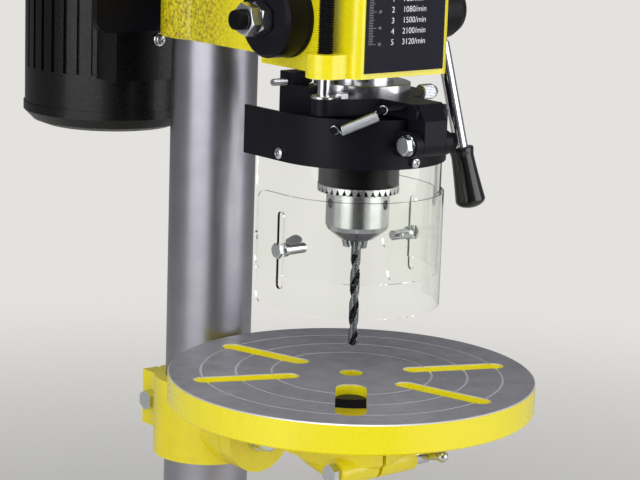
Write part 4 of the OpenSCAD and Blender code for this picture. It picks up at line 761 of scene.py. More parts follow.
def tube(path: np.ndarray, radius: float, aside: np.ndarray, steps: int = 12) -> Patch:
    """Carry a circle along a path.

    The circle at each point lies square to the chord of its neighbours. Its first axis is the chord's
    cross product with a direction that it never runs along.

    Args:
        path: Points along the middle.
        radius: Radius of the tube.
        aside: That direction for each point.
        steps: Points round.

    Returns:
        The closed patch.
    """
    ahead = np.gradient(path, axis=0)
    ahead /= np.linalg.norm(ahead, axis=1, keepdims=True)
    flat = np.cross(ahead, aside)
    flat /= np.linalg.norm(flat, axis=1, keepdims=True)
    rise = np.cross(ahead, flat)
    angle = round_steps(steps)[None, :, None]
    grid = path[:, None] + radius * (flat[:, None] * np.cos(angle) + rise[:, None] * np.sin(angle))
    return Patch.from_grid(grid)


def bars(middle: np.ndarray, size: np.ndarray) -> Patch:
    """Boxes side by side: each middle plus or minus half of its size along X, Y and Z.

    Args:
        middle: Rows of box middles.
        size: Rows of box sizes.

    Returns:
        One patch of all the boxes.
    """
    corner = np.array([[-1, -1, -1], [1, -1, -1], [1, 1, -1], [-1, 1, -1],
                       [-1, -1, 1], [1, -1, 1], [1, 1, 1], [-1, 1, 1]]) / 2
    faces = np.array([[0, 3, 2, 1], [4, 5, 6, 7], [0, 1, 5, 4], [1, 2, 6, 5], [2, 3, 7, 6], [3, 0, 4, 7]])
    points = (middle[:, None] + corner * size[:, None]).reshape(-1, 3)
    quads = (faces + len(corner) * np.arange(len(middle))[:, None, None]).reshape(-1, 4)
    return Patch(points, quads, np.zeros((0, 3), int))


def rod(radius: float, low: float, high: float, edge: float = 0.3) -> Patch:
    """A turned pin along +Z with both ends bevelled by the edge."""
    return Patch.from_grid(revolve([(radius - edge, low), (radius, low + edge), (radius, high - edge),
                                    (radius - edge, high)], 40))


def hex_bolt(across: float, high: float, plate: Pair, shank: Pair) -> Patch:
    """A hexagon head on its washer with a shank below, seated on z = 0 and pointing along +Z.

    Args:
        across: Width over the head's flats.
        high: Height of the head over its washer.
        plate: Radius and thickness of the washer.
        shank: Radius and length of the shank.

    Returns:
        The patch of all three.
    """
    plate_r, thick = plate
    shank_r, long = shank
    head = hex_nut(across, high, 0).placed((0, 0, thick))
    return head + washer(plate_r, shank_r - 0.2, thick) + rod(shank_r, -long, thick)


def knurled(radius: float, high: float) -> Patch:
    """A thumb knob along +Z with straight ridges and a domed end.

    Between its bevels the radius falls by 0.32 (1 - |sin|^0.6) of the ridge phase, so the ridges stay
    broad and the grooves narrow. The dome is a quarter ellipse.

    Args:
        radius: Radius over the ridges.
        high: Length without the dome.

    Returns:
        The closed patch.
    """
    ridges, foot, rim, dome_high = 26, 0.7, 0.6, 4.6
    angle = round_steps(ridges * 8)
    cut = radius - 0.32 * (1 - np.abs(np.sin(angle * ridges / 2)) ** 0.6)
    turn = np.linspace(0, np.pi / 2, 9)[:-1]
    dome = [((radius - rim) * math.cos(t), high + dome_high * math.sin(t)) for t in turn]
    return Patch.from_grid(ring_grid([(radius - foot, 0), (cut, foot), (cut, high - rim)] + dome, angle))


def wing_nut(hub: float, stem: float, high: float, reach: float) -> Patch:
    """A pressed wing nut standing on z = 0: a collared stem with two ears leaning outwards.

    An ear is a rounded outline of polar radius about its middle, (|cos|^n + |sin|^n)^(-1/n) with n = 3,
    sheared outwards with its height. Stations through its thickness shrink at both faces.

    Args:
        hub: Radius of the collar.
        stem: How far up the ears begin.
        high: Height of the ears.
        reach: How far the ears go from the axis.

    Returns:
        The patch of the stem and both ears.
    """
    bevel, collar, neck, power = 0.3, 2.2, 2.8, 3
    core = Patch.from_grid(revolve([
        (hub - bevel, 0), (hub, bevel), (hub, collar), (hub * 0.82, neck), (hub * 0.78, stem),
        (hub * 0.74, stem + high * 0.5), (hub * 0.66, stem + high * 0.53)], 40))
    angle = round_steps(40)
    round_off = (np.abs(np.cos(angle)) ** power + np.abs(np.sin(angle)) ** power) ** (-1 / power)
    wide, tall, slim, lean = (reach - 1.5) / 2, high / 2, 0.62, 0.5
    share = np.array([0.8, 0.96, 1.0, 1.0, 0.96, 0.8])[:, None]
    depth = np.array([-1.1, -0.95, -0.6, 0.6, 0.95, 1.1])[:, None]
    rise = share * tall * round_off * np.sin(angle)
    out = -share * wide * slim * round_off * np.cos(angle) + lean * rise
    ear = Patch.from_grid(np.stack([out + hub * 0.6 + wide, depth + 0 * angle, rise + stem + tall], axis=-1))
    return core + ear + ear.placed((0, 0, 0), spin=180)


def dress(finish: Finish, *names: str) -> None:
    """Give CAD nodes a finish.

    Args:
        finish: The finish.
        *names: The nodes that get it.
    """
    for name in names:
        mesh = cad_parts[name].data
        mesh.materials.clear()
        mesh.materials.append(finish.material())
        log.info("%s: %s", name, finish.name)


def letters(name: str, words: str, ink: Finish, size: float, row: float, at: Triple) -> None:
    """Print generic figures on a face that looks towards -Y.

    The text is made a mesh first. Its x stays x, its y becomes z, and its small thickness lies along y.

    Args:
        name: The piece's name.
        words: Lines of figures.
        ink: The print's finish.
        size: Height of the type, in millimetres.
        row: Step from line to line, in millimetres.
        at: Left edge, face and base line of the first row, in millimetres.
    """
    curve = bpy.data.curves.new(name + "_type", "FONT")
    curve.body = words
    curve.size = size * MM
    curve.space_line = row / size
    curve.extrude = INK_MM * MM
    text = put(name + "_type", curve)
    bpy.context.view_layer.update()
    mesh = bpy.data.meshes.new_from_object(text.evaluated_get(bpy.context.evaluated_depsgraph_get()))
    bpy.data.objects.remove(text)
    left, face, base = (MM * v for v in at)
    mesh.transform(Matrix(((1, 0, 0, left), (0, 0, -1, face), (0, 1, 0, base), (0, 0, 0, 1))))
    mesh.materials.clear()
    mesh.materials.append(ink.material())
    made = put(name, mesh)
    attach(made, "frame")
    log.info("%s: %d points", name, len(mesh.vertices))


@dataclass
class Stand:
    """Base, column and head: the castings and their bolts."""

    bolt_ring: float = 51.0
    bolt_turns: tuple[float, ...] = (45.0, 135.0, 225.0, 315.0)
    bolt_spin: float = 17.0
    seat: float = 47.0
    bolt_across: float = 16.0
    bolt_high: float = 6.0
    bolt_washer: Pair = (10.0, 1.4)
    bolt_shank: Pair = (5.0, 34.0)

    def build(self) -> None:
        """Dress the castings and the column, and bolt the flange down."""
        dress(YELLOW, "base", "column_flange")
        dress(HEAD_YELLOW, "head_casting")
        dress(ZINC, "head_set_screws")
        dress(COLUMN_STEEL, "column")
        bolt = hex_bolt(self.bolt_across, self.bolt_high, self.bolt_washer, self.bolt_shank)
        places = COLUMN + polar(self.bolt_ring, np.radians(self.bolt_turns), self.seat)
        bolts = merged([bolt.placed(at, spin=self.bolt_spin * i) for i, at in enumerate(places)])
        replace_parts(bolts.piece("flange_hex_bolts", ZINC, "frame"), "flange_bolts")


@dataclass
class LabelPrint:
    """Speed rows and depth scale on the label, with the switch above."""

    front: float = -84.74
    speeds: tuple[int, ...] = (720, 1080, 1500, 2100, 3120)
    row_mm: float = 6.7
    type_mm: float = 5.2
    last_row: float = 515.5
    step_left: float = -12.2
    speed_left: float = -3.0
    scale_left: float = -30.4
    scale_low: float = 516.5
    scale_l: int = 50
    tick_l: Triple = (6.0, 4.6, 3.4)
    tick_thick: float = 0.04
    tick_wide: float = 0.22
    figure_mm: float = 2.5
    figure_step: int = 10
    figure_right: float = 7.6
    figure_drop: float = 0.9

    def build(self) -> None:
        """Dress the plates, and print the rows and the scale."""
        dress(LABEL_FILM, "label_panel")
        dress(BLACK_PLASTIC, "switch_plate")
        dress(RED_PLASTIC, "switch_rocker")
        self.print_rows()
        self.print_scale()

    def print_rows(self) -> None:
        """Print a column of step numbers and one of speeds."""
        top = self.last_row + self.row_mm * (len(self.speeds) - 1)
        steps = "\n".join(str(i + 1) for i in range(len(self.speeds)))
        rates = "\n".join(f"{rate}/min" for rate in self.speeds)
        for name, words, left in (("label_step_numbers", steps, self.step_left),
                                  ("label_speed_numbers", rates, self.speed_left)):
            letters(name, words, WHITE_INK, self.type_mm, self.row_mm, (left, self.front, top))

    def print_scale(self) -> None:
        """Print a tick for each millimetre, longer at fifths and longest at tenths, which have figures."""
        depth = np.arange(self.scale_l + 1)
        tenth, fifth, single = self.tick_l
        long = np.where(depth % 10 == 0, tenth, np.where(depth % 5 == 0, fifth, single))
        top = self.scale_low + self.scale_l
        middle = np.stack([self.scale_left + long / 2, 0 * long + self.front, top - depth], axis=1)
        size = np.stack([long, 0 * long + self.tick_thick, 0 * long + self.tick_wide], axis=1)
        bars(middle, size).piece("label_scale_ticks", GREY_INK, "frame")
        marks = "\n".join(str(mark) for mark in range(0, self.scale_l + 1, self.figure_step))
        letters("label_scale_numbers", marks, GREY_INK, self.figure_mm, self.figure_step,
                (self.scale_left + self.figure_right, self.front, top - self.figure_drop))


@dataclass
class Drive:
    """Motor, pulleys, belt and cover."""

    screw_at: Triple = (-5.4, 171.0, 491.0)
    screw_head: Pair = (3.9, 2.6)
    screw_washer: Triple = (5.0, 1.8, 1.1)
    screw_seat: float = 1.0
    screw_spin: float = 20.0

    def build(self) -> None:
        """Dress the drive and put in the motor's earth screw."""
        dress(MOTOR_BLACK, "motor_housing", "motor_end_caps", "cover_pan", "cover_lid")
        dress(BLACK, "motor_plate")
        dress(SHAFT, "motor_slide_rods", "motor_shaft", "pulley_sleeve", "pulley_bearings", "cover_hinge_pin")
        dress(ALUMINIUM, "motor_pulley", "spindle_pulley")
        dress(RUBBER, "v_belt")
        dress(PHENOLIC, "cover_knob")
        screw = pan_head(*self.screw_head).placed((0, 0, self.screw_seat)) + washer(*self.screw_washer)
        screw = screw.placed(self.screw_at, (0, -1, 0), self.screw_spin)
        screw.piece("motor_earth_screw", ZINC, "motor_unit")


@dataclass
class Feed:
    """Pinion shaft with its levers, knobs, spring cup and nuts."""

    nuts_from: float = -59.4
    nut_across: float = 19.0
    nut_high: float = 8.0
    nut_step: float = 8.2
    nut_bite: float = 0.4
    nut_spin: float = 17.0
    stud_end: float = -82.0
    stud_tip: float = 0.3
    stud_r: float = 6.5
    stud_depth: float = 0.45
    stud_pitch: float = 1.75
    levers: int = 3
    lever_x: float = 87.55
    lever_lean: float = 8.0
    lever_turn: float = 170.0
    knob_from: float = 94.2
    knob_l: float = 42.0
    mouth_l: float = 1.2
    mouth_bevels: tuple[Pair, Pair] = ((1.4, 0.0), (0.4, 0.3))
    neck_r: float = 7.5
    bead: float = 0.9
    bead_share: float = 0.16
    swell_power: float = 1.4
    end_r: float = 10.15
    dome_l: float = 5.5

    def build(self) -> None:
        """Dress the feed, cut the stud's thread, and make the nuts and knobs."""
        dress(SHAFT, "pinion_shaft", "return_spring")
        dress(BLACK, "feed_hub", "spring_cup")
        dress(CHROME, "feed_levers")
        nuts_end = self.nuts_from - self.nut_step - self.nut_high
        screw = thread(self.stud_r, self.stud_depth, self.stud_pitch, -self.stud_tip,
                       nuts_end - self.stud_end)
        screw.placed(PINION + (self.stud_end, 0, 0), (1, 0, 0)).piece("cup_stud_thread", OXIDE, "feed")
        nut = hex_nut(self.nut_across, self.nut_high, self.stud_r - self.nut_bite)
        nuts = [nut.placed(PINION + (self.nuts_from - i * self.nut_step, 0, 0), (-1, 0, 0), self.nut_spin * i)
                for i in range(2)]
        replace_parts(merged(nuts).piece("spring_cup_nuts", ZINC, "feed"), "cup_nuts")
        knobs = merged([self.knob(self.lever_turn + 360 / self.levers * i) for i in range(self.levers)])
        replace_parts(knobs.piece("lever_end_knobs", PHENOLIC, "feed"), "lever_knobs")

    def knob(self, turn: float) -> Patch:
        """Turn one knob and set it on its lever.

        The neck is a rounded bead. Past it a cosine narrows the radius to a waist, then it swells with a
        power of the length, and a quarter ellipse rounds the end.

        Args:
            turn: The lever's angle about the pinion, in degrees.

        Returns:
            The placed knob.
        """
        rim, dome_from = self.neck_r + self.bead, self.knob_l - self.dome_l
        mouth = [(rim - inset, level) for inset, level in self.mouth_bevels]
        share = np.linspace(0, 1, 28)
        bead = self.bead * (1 + np.cos(np.pi * np.clip(share / self.bead_share, 0, 1))) / 2
        swell = self.neck_r + bead + (self.end_r - self.neck_r) * share ** self.swell_power
        run = np.stack([swell, self.mouth_l + share * (dome_from - self.mouth_l)], axis=1)
        arc = np.linspace(0, np.pi / 2, 14)[1:-1]
        end = np.stack([self.end_r * np.cos(arc), dome_from + self.dome_l * np.sin(arc)], axis=1)
        lean, turned = math.radians(self.lever_lean), math.radians(turn)
        along = np.array([math.sin(lean), -math.cos(lean) * math.sin(turned),
                          math.cos(lean) * math.cos(turned)])
        foot = PINION + (self.lever_x, 0, 0) + along * self.knob_from
        return Patch.from_grid(revolve(np.vstack([mouth, run, end]), 72)).placed(foot, tuple(along))


@dataclass
class Chuck:
    """Quill, spindle, key chuck and drill."""

    tip_z: float = 313.0
    flute_l: float = 63.0
    runout: float = 6.0
    total_l: float = 91.0
    drill_r: float = 3.175
    lead: float = 40.0
    half_point: float = 59.0
    flute_away: float = 1.016
    flute_size: float = 0.72
    flute_slope: Pair = (0.36, 0.95)
    ring_low: float = 416.6
    ring_high: float = 5.0
    ring_r: float = 26.5
    ring_bore: float = 20.55
    ring_bevel: float = 0.25
    ring_edge: float = 0.12
    teeth: int = 36
    gap_floor: float = 23.2
    gap_high: float = 4.2
    gap_half: float = 0.37
    gap_wall: float = 0.012

    def build(self) -> None:
        """Dress the chuck, and make the drill and the toothed ring."""
        dress(TURNED, "quill", "quill_ring", "chuck_body")
        dress(SHAFT, "quill_bearings", "spindle", "chuck_jaw_1", "chuck_jaw_2", "chuck_jaw_3")
        dress(OXIDE, "chuck_sleeve")
        drill = Patch.from_grid(self.drill()).placed(SPINDLE + (0, 0, self.tip_z))
        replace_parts(drill.piece("drill_flutes", DRILL_STEEL, "spindle_unit", sharp=40), "twist_drill")
        ring = Patch.from_grid(self.ring(), ring=True).placed(SPINDLE + (0, 0, self.ring_low))
        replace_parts(ring.piece("chuck_ring_teeth", TOOTHED_STEEL, "sleeve"), "chuck_ring")

    def ring(self) -> np.ndarray:
        """Work out the toothed ring's skin.

        The section goes up the outside and down the bore. Round the ring, six steps make one pitch: the
        tooth's middle and both edges of the gap with its floor. Half the gap's width, as a share of the
        pitch, falls evenly with height to a point, and between the edges the radius goes in to the floor.

        Returns:
            The grid of points, with the ring's foot on z = 0.
        """
        full, bore, top, point = self.ring_r, self.ring_bore, self.ring_high, self.gap_high
        height = np.array([0, self.ring_bevel, 1.2, 2.2, 3.2, point - 0.02, point, top - self.ring_bevel,
                           top, top, 0])[:, None]
        radius = np.hstack([full - self.ring_edge, np.full(7, full), full - self.ring_bevel,
                            bore, bore])[:, None]
        half = np.maximum(self.gap_half * (1 - height / point), 0.004)
        edge = half + self.gap_wall
        step = np.hstack([half * 0 - 0.5, -edge, -half, half * 0, half, edge])
        cut = (np.array([0, 0, 1, 1, 1, 0]) > 0) & (height < point)
        reach = np.tile(np.where(cut, np.minimum(radius, self.gap_floor), radius), (1, self.teeth))
        angle = (np.repeat(np.arange(self.teeth), 6) + np.tile(step, (1, self.teeth))) * TURN / self.teeth
        return polar(reach, angle, height)

    def drill(self) -> np.ndarray:
        """Work out the drill's skin.

        A ray from the axis at angle a meets each round flute of radius p, whose middle is d away at angle
        m, at d cos(a - m) - sqrt(p^2 - d^2 sin^2(a - m)). The section is that or the full radius, turned
        by height over lead. It fades to round where the flutes run out, and a cone of the point's half
        angle cuts it.

        Returns:
            The grid of points with the tip at the origin.
        """
        angle = round_steps(120)
        fluted = self.flute_l + self.runout
        height = np.concatenate([np.linspace(0.02, 2.4, 22), np.linspace(2.6, fluted, 260),
                                 np.linspace(fluted + 1, self.total_l, 4)])[:, None]
        full, away, flute = np.array([1, self.flute_away, self.flute_size]) * self.drill_r
        off = angle - math.atan2(*self.flute_slope)
        off = (off + np.pi / 2) % np.pi - np.pi / 2
        inside = flute ** 2 - (away * np.sin(off)) ** 2
        near = away * np.cos(off) - np.sqrt(np.clip(inside, 0, None))
        section = np.where(inside > 0, np.minimum(near, full), full)
        fade = np.clip((self.flute_l - height) / self.runout, 0, 1)
        reach = np.minimum(full - (full - section) * fade, height * math.tan(math.radians(self.half_point)))
        return polar(reach, angle + TURN * height / self.lead, height)


@dataclass
class DepthStop:
    """Threaded depth rod with its plain shank, washer and stop nuts."""

    crest: float = 5.0
    depth: float = 0.85
    pitch: float = 1.5
    lug_top: float = 510.0
    thread_sink: float = 4.0
    seat: float = 474.6
    shank_r: float = 4.25
    collar_top: float = 482.0
    plate: Triple = (8.2, 4.3, 1.7)
    end: float = 607.6
    nut_z: float = 565.0
    nut_high: float = 8.0
    nut_across: float = 14.0
    nut_step: float = 8.2
    nut_ease: float = 0.02
    nut_spin: float = 12.0

    def build(self) -> None:
        """Make the rod with its shank and washer, and the nuts."""
        screw = thread(self.crest, self.depth, self.pitch, self.lug_top - self.thread_sink, self.end)
        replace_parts(screw.placed(ROD).piece("depth_rod_thread", OXIDE, "quill_unit"), "depth_rod")
        shank = Patch.from_grid(revolve([
            (self.shank_r - 0.05, self.seat), (self.shank_r, self.seat + 0.5),
            (self.shank_r, self.lug_top - 5), (self.shank_r - 0.25, self.lug_top - 3)]))
        shank.placed(ROD).piece("depth_rod_shank", TURNED, "quill_unit")
        plate = washer(*self.plate).placed(ROD + (0, 0, self.collar_top))
        plate.piece("depth_rod_washer", ZINC, "quill_unit")
        nut = hex_nut(self.nut_across, self.nut_high, self.crest + self.nut_ease)
        nuts = [nut.placed(ROD + (0, 0, self.nut_z + i * self.nut_step), spin=self.nut_spin * i)
                for i in range(2)]
        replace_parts(merged(nuts).piece("depth_stop_nuts", ZINC, "depth_stop"), "depth_nuts")


@dataclass
class ChuckGuard:
    """Collar, swinging band, clear sheets, spring and their screws."""

    wall_r: float = 58.0
    side_screw: Pair = (-40.0, 445.0)
    side_spin: float = 12.0
    front_turn: float = -91.5
    front_z: float = 444.2
    front_spin: float = 33.0
    pan: Pair = (3.6, 2.6)
    pan_shank: Pair = (2.0, 8.0)
    pan_nut: Triple = (7.0, 2.4, 1.8)
    pan_nut_in: float = 7.05
    wing: Pair = (-42.0, 383.0)
    wing_head: Pair = (9.0, 2.6)
    wing_head_out: float = 0.2
    wing_shank: Triple = (2.5, 17.4, 0.4)
    wing_sizes: tuple[float, ...] = (4.4, 8.5, 14.5, 16.5)
    wing_nut_in: float = 4.6
    wing_spins: Pair = (20.0, 14.0)
    post_turn: float = -143.0
    post_z: float = 465.0
    post_r: float = 1.6
    post_lip: float = 0.8
    post_head: float = 1.0
    band_post: Pair = (55.2, 65.0)
    band_hook: float = 3.8
    arm_tip: Triple = (-34.2, -105.0, 479.0)
    arm_post: Pair = (-3.4, 21.0)
    arm_head: float = -3.6
    hinge: Pair = (-112.0, 457.0)
    hinge_reach: float = 15.3
    hinge_across: float = 11.0
    hinge_head: float = 4.0
    hinge_washer: Pair = (6.7, 1.0)
    hinge_shank: Pair = (3.0, 37.4)
    hinge_nut: Pair = (6.0, 2.8)
    hinge_spins: Pair = (10.0, 25.0)
    set_screw: Triple = (-55.0, -22.0, 487.0)
    set_thread: Triple = (2.3, 0.35, 0.9)
    set_l: float = 31.0
    thumb_z: float = 477.2
    thumb_rod: Triple = (3.0, 21.4, 50.5)
    thumb_knob: Pair = (5.2, 10.0)
    thumb_knob_from: float = 50.0
    cap: Pair = (8.0, 3.4)
    cap_at: Triple = (-38.0, -70.0, 482.0)
    cap_spin: float = 20.0
    wire: float = 0.9
    coil_r: float = 3.05
    coil_sag: float = 2.3
    turns: float = 23.5
    pitch: float = 1.0
    hook_r: float = 2.5
    hook_turns: tuple[Pair, Pair] = ((320.0, 90.0), (90.0, -110.0))

    def build(self) -> None:
        """Dress the guard and make its spring and screws."""
        dress(BLACK, "guard_collar", "guard_band")
        dress(CLEAR, "inner_sheet", "outer_sheet")
        for name in ("inner_sheet", "outer_sheet"):
            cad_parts[name].visible_shadow = False  # lamp light passes the clear sheets
        self.fasten_sheets()
        self.hang_band()
        self.fit_collar()
        self.hook_spring()

    def post_dir(self) -> np.ndarray:
        """Give the direction of the band's spring post."""
        turn = math.radians(self.post_turn)
        return np.array([math.cos(turn), math.sin(turn), 0.0])

    def post(self, span: Pair, head: float) -> Patch:
        """Turn a spring post along +Z over a span, with a flat head from a height."""
        return rod(self.post_r, *span) + rod(self.post_r + self.post_lip, head, head + self.post_head)

    def fasten_sheets(self) -> None:
        """Screw the fixed sheet to the band, and hold the sliding one with bolts and wing nuts."""
        wall = self.wall_r
        pan_r, pan_l = self.pan_shank
        pan = (pan_head(*self.pan).placed((0, 0, wall)) + rod(pan_r, wall - pan_l, wall)
               + hex_nut(*self.pan_nut).placed((0, 0, wall - self.pan_nut_in)))
        wing_r, inward, outward = self.wing_shank
        bolt = (hex_nut(*self.wing_head, 0).placed((0, 0, wall + self.wing_head_out))
                + rod(wing_r, wall - inward, wall + outward))
        nut = wing_nut(*self.wing_sizes)
        front = math.radians(self.front_turn)
        screws = [pan.placed(GUARD + (0, 0, self.front_z), (math.cos(front), math.sin(front), 0),
                             self.front_spin)]
        wings, nuts = [], []
        for side in (-1, 1):
            screws.append(pan.placed((GUARD[0], *self.side_screw), (side, 0, 0), self.side_spin))
            wings.append(bolt.placed((GUARD[0], *self.wing), (side, 0, 0), self.wing_spins[0]))
            nuts.append(nut.placed((GUARD[0] + side * (wall - self.wing_nut_in), *self.wing), (-side, 0, 0),
                                   self.wing_spins[1]))
        post = self.post(self.band_post, self.band_post[1])
        pin = post.placed(GUARD + (0, 0, self.post_z), tuple(self.post_dir()))
        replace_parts(merged(screws).piece("guard_pan_screws", ZINC, "guard"), "guard_screws")
        pin.piece("band_spring_post", OXIDE, "guard")
        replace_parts(merged(wings + nuts).piece("guard_wing_bolts", ZINC, "guard"), "wing_screws")

    def hang_band(self) -> None:
        """Bolt the band's ears to the collar's arm, with a black nut on the far side."""
        left, right = ((GUARD[0] + side * self.hinge_reach, *self.hinge) for side in (-1, 1))
        bolt = hex_bolt(self.hinge_across, self.hinge_head, self.hinge_washer, self.hinge_shank)
        bolt = bolt.placed(left, (-1, 0, 0), self.hinge_spins[0])
        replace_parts(bolt.piece("guard_hinge_hex_bolt", ZINC, "quill_unit"), "guard_hinge_bolt")
        nut = hex_nut(self.hinge_across, *self.hinge_nut).placed(right, (1, 0, 0), self.hinge_spins[1])
        nut.piece("guard_hinge_nut", OXIDE, "quill_unit")

    def fit_collar(self) -> None:
        """Put in the collar's set screw, thumb screw, top nut and spring post."""
        stud = thread(*self.set_thread, 0, self.set_l).placed(self.set_screw, (1, 0, 0))
        thumb = rod(*self.thumb_rod) + knurled(*self.thumb_knob).placed((0, 0, self.thumb_knob_from))
        thumb = thumb.placed(SPINDLE + (0, 0, self.thumb_z), (1, 0, 0))
        cap = hex_nut(*self.cap, 0).placed(self.cap_at, spin=self.cap_spin)
        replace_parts((stud + thumb + cap).piece("collar_set_screws", ZINC, "quill_unit"), "collar_screws")
        post = self.post(self.arm_post, self.arm_head)
        post.placed(self.arm_tip, (1, 0, 0)).piece("arm_spring_post", OXIDE, "quill_unit")

    def hook_spring(self) -> None:
        """Wind the spring and hook it on both posts."""
        band_tip = GUARD + (0, 0, self.post_z) + self.post_dir() * (self.wall_r + self.band_hook)
        path, aside = self.spring(band_tip, np.array(self.arm_tip))
        coil = tube(path, self.wire / 2, aside).piece("guard_return_spring", ZINC, None)
        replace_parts(coil, "guard_spring")
        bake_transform(coil)

    def spring(self, start: np.ndarray, end: np.ndarray) -> tuple[np.ndarray, np.ndarray]:
        """Work out the wire of an extension spring between two posts.

        Three directions carry it: the axis from post to post, up and aside. Each hook is an arc about its
        post in the plane of axis and up. A cosine step leads from the first hook's top down to the bottom
        of the coil, and another from the top of the coil to the second hook. The coil is a helix that
        hangs below the posts. The second result is square to the wire and never jumps: in the plane it is
        the wire's direction turned by a quarter, and along the coil it points at the coil's middle.

        Args:
            start: Middle of the first hook.
            end: Middle of the second hook.

        Returns:
            The points of the wire and a direction square to it at each.
        """
        long = np.linalg.norm(end - start)
        axis = (end - start) / long
        side = np.cross(axis, (0, 0, 1))
        side /= np.linalg.norm(side)
        plane = np.stack([axis, np.cross(side, axis)])
        lead = (long - self.turns * self.pitch) / 2
        low, high = -self.coil_sag - self.coil_r, self.coil_r - self.coil_sag

        def hook(turns: Pair, middle: float) -> np.ndarray:
            """Bend an arc between two angles, in degrees."""
            turn = np.radians(np.linspace(*turns, 30))
            return np.stack([middle + self.hook_r * np.cos(turn), self.hook_r * np.sin(turn)], axis=1)

        def step(first: float, rise_from: float, rise_to: float) -> np.ndarray:
            """Lead the wire along the axis from one height to another."""
            share = np.linspace(0, 1, 14)[1:-1]
            rise = rise_from + (rise_to - rise_from) * (1 - np.cos(np.pi * share)) / 2
            return np.stack([first + lead * share, rise], axis=1)

        def square(flat: np.ndarray) -> np.ndarray:
            """Turn the direction along a flat line by a quarter."""
            ahead = np.gradient(flat, axis=0)
            ahead /= np.linalg.norm(ahead, axis=1, keepdims=True)
            return np.stack([-ahead[:, 1], ahead[:, 0]], axis=1)

        first, last = self.hook_turns
        before = np.vstack([hook(first, 0.0), step(0.0, self.hook_r, low)])
        after = np.vstack([step(long - lead, high, self.hook_r), hook(last, long)])
        phase = np.linspace(0, self.turns, int(self.turns * 28) + 1)[:, None]
        inward = plane[1] * np.cos(TURN * phase) - side * np.sin(TURN * phase)
        middle = axis * (lead + self.pitch * phase) - plane[1] * self.coil_sag
        path = np.vstack([before @ plane, middle - inward * self.coil_r, after @ plane])
        return start + path, np.vstack([square(before) @ plane, inward, -square(after) @ plane])


@dataclass
class TableUnit:
    """Bracket, arm, table and clamps."""

    tilt_seat: Triple = (0.0, 48.6, 229.0)
    tilt_across: float = 19.0
    tilt_high: float = 8.0
    tilt_washer: Pair = (11.5, 2.0)
    tilt_shank: Pair = (6.0, 27.0)
    tilt_spin: float = 12.0

    def build(self) -> None:
        """Dress the table and what carries it, and make the tilt bolt."""
        dress(ROUGH_YELLOW, "table_bracket", "table_arm")
        dress(TABLE_IRON, "table")
        dress(BLACK, "table_stem")
        dress(ZINC, "bracket_clamp", "table_lock")
        bolt = hex_bolt(self.tilt_across, self.tilt_high, self.tilt_washer, self.tilt_shank)
        bolt = bolt.placed(self.tilt_seat, (0, -1, 0), self.tilt_spin)
        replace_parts(bolt.piece("tilt_hex_bolt", ZINC, "carriage"), "tilt_bolt")


@dataclass(frozen=True)
class SoftBox:
    """A soft lamp: degrees to the right of the camera's side and up, metres away and in size, and watts."""

    name: str
    turn: float
    rise: float
    away: float
    size: Pair
    power: float


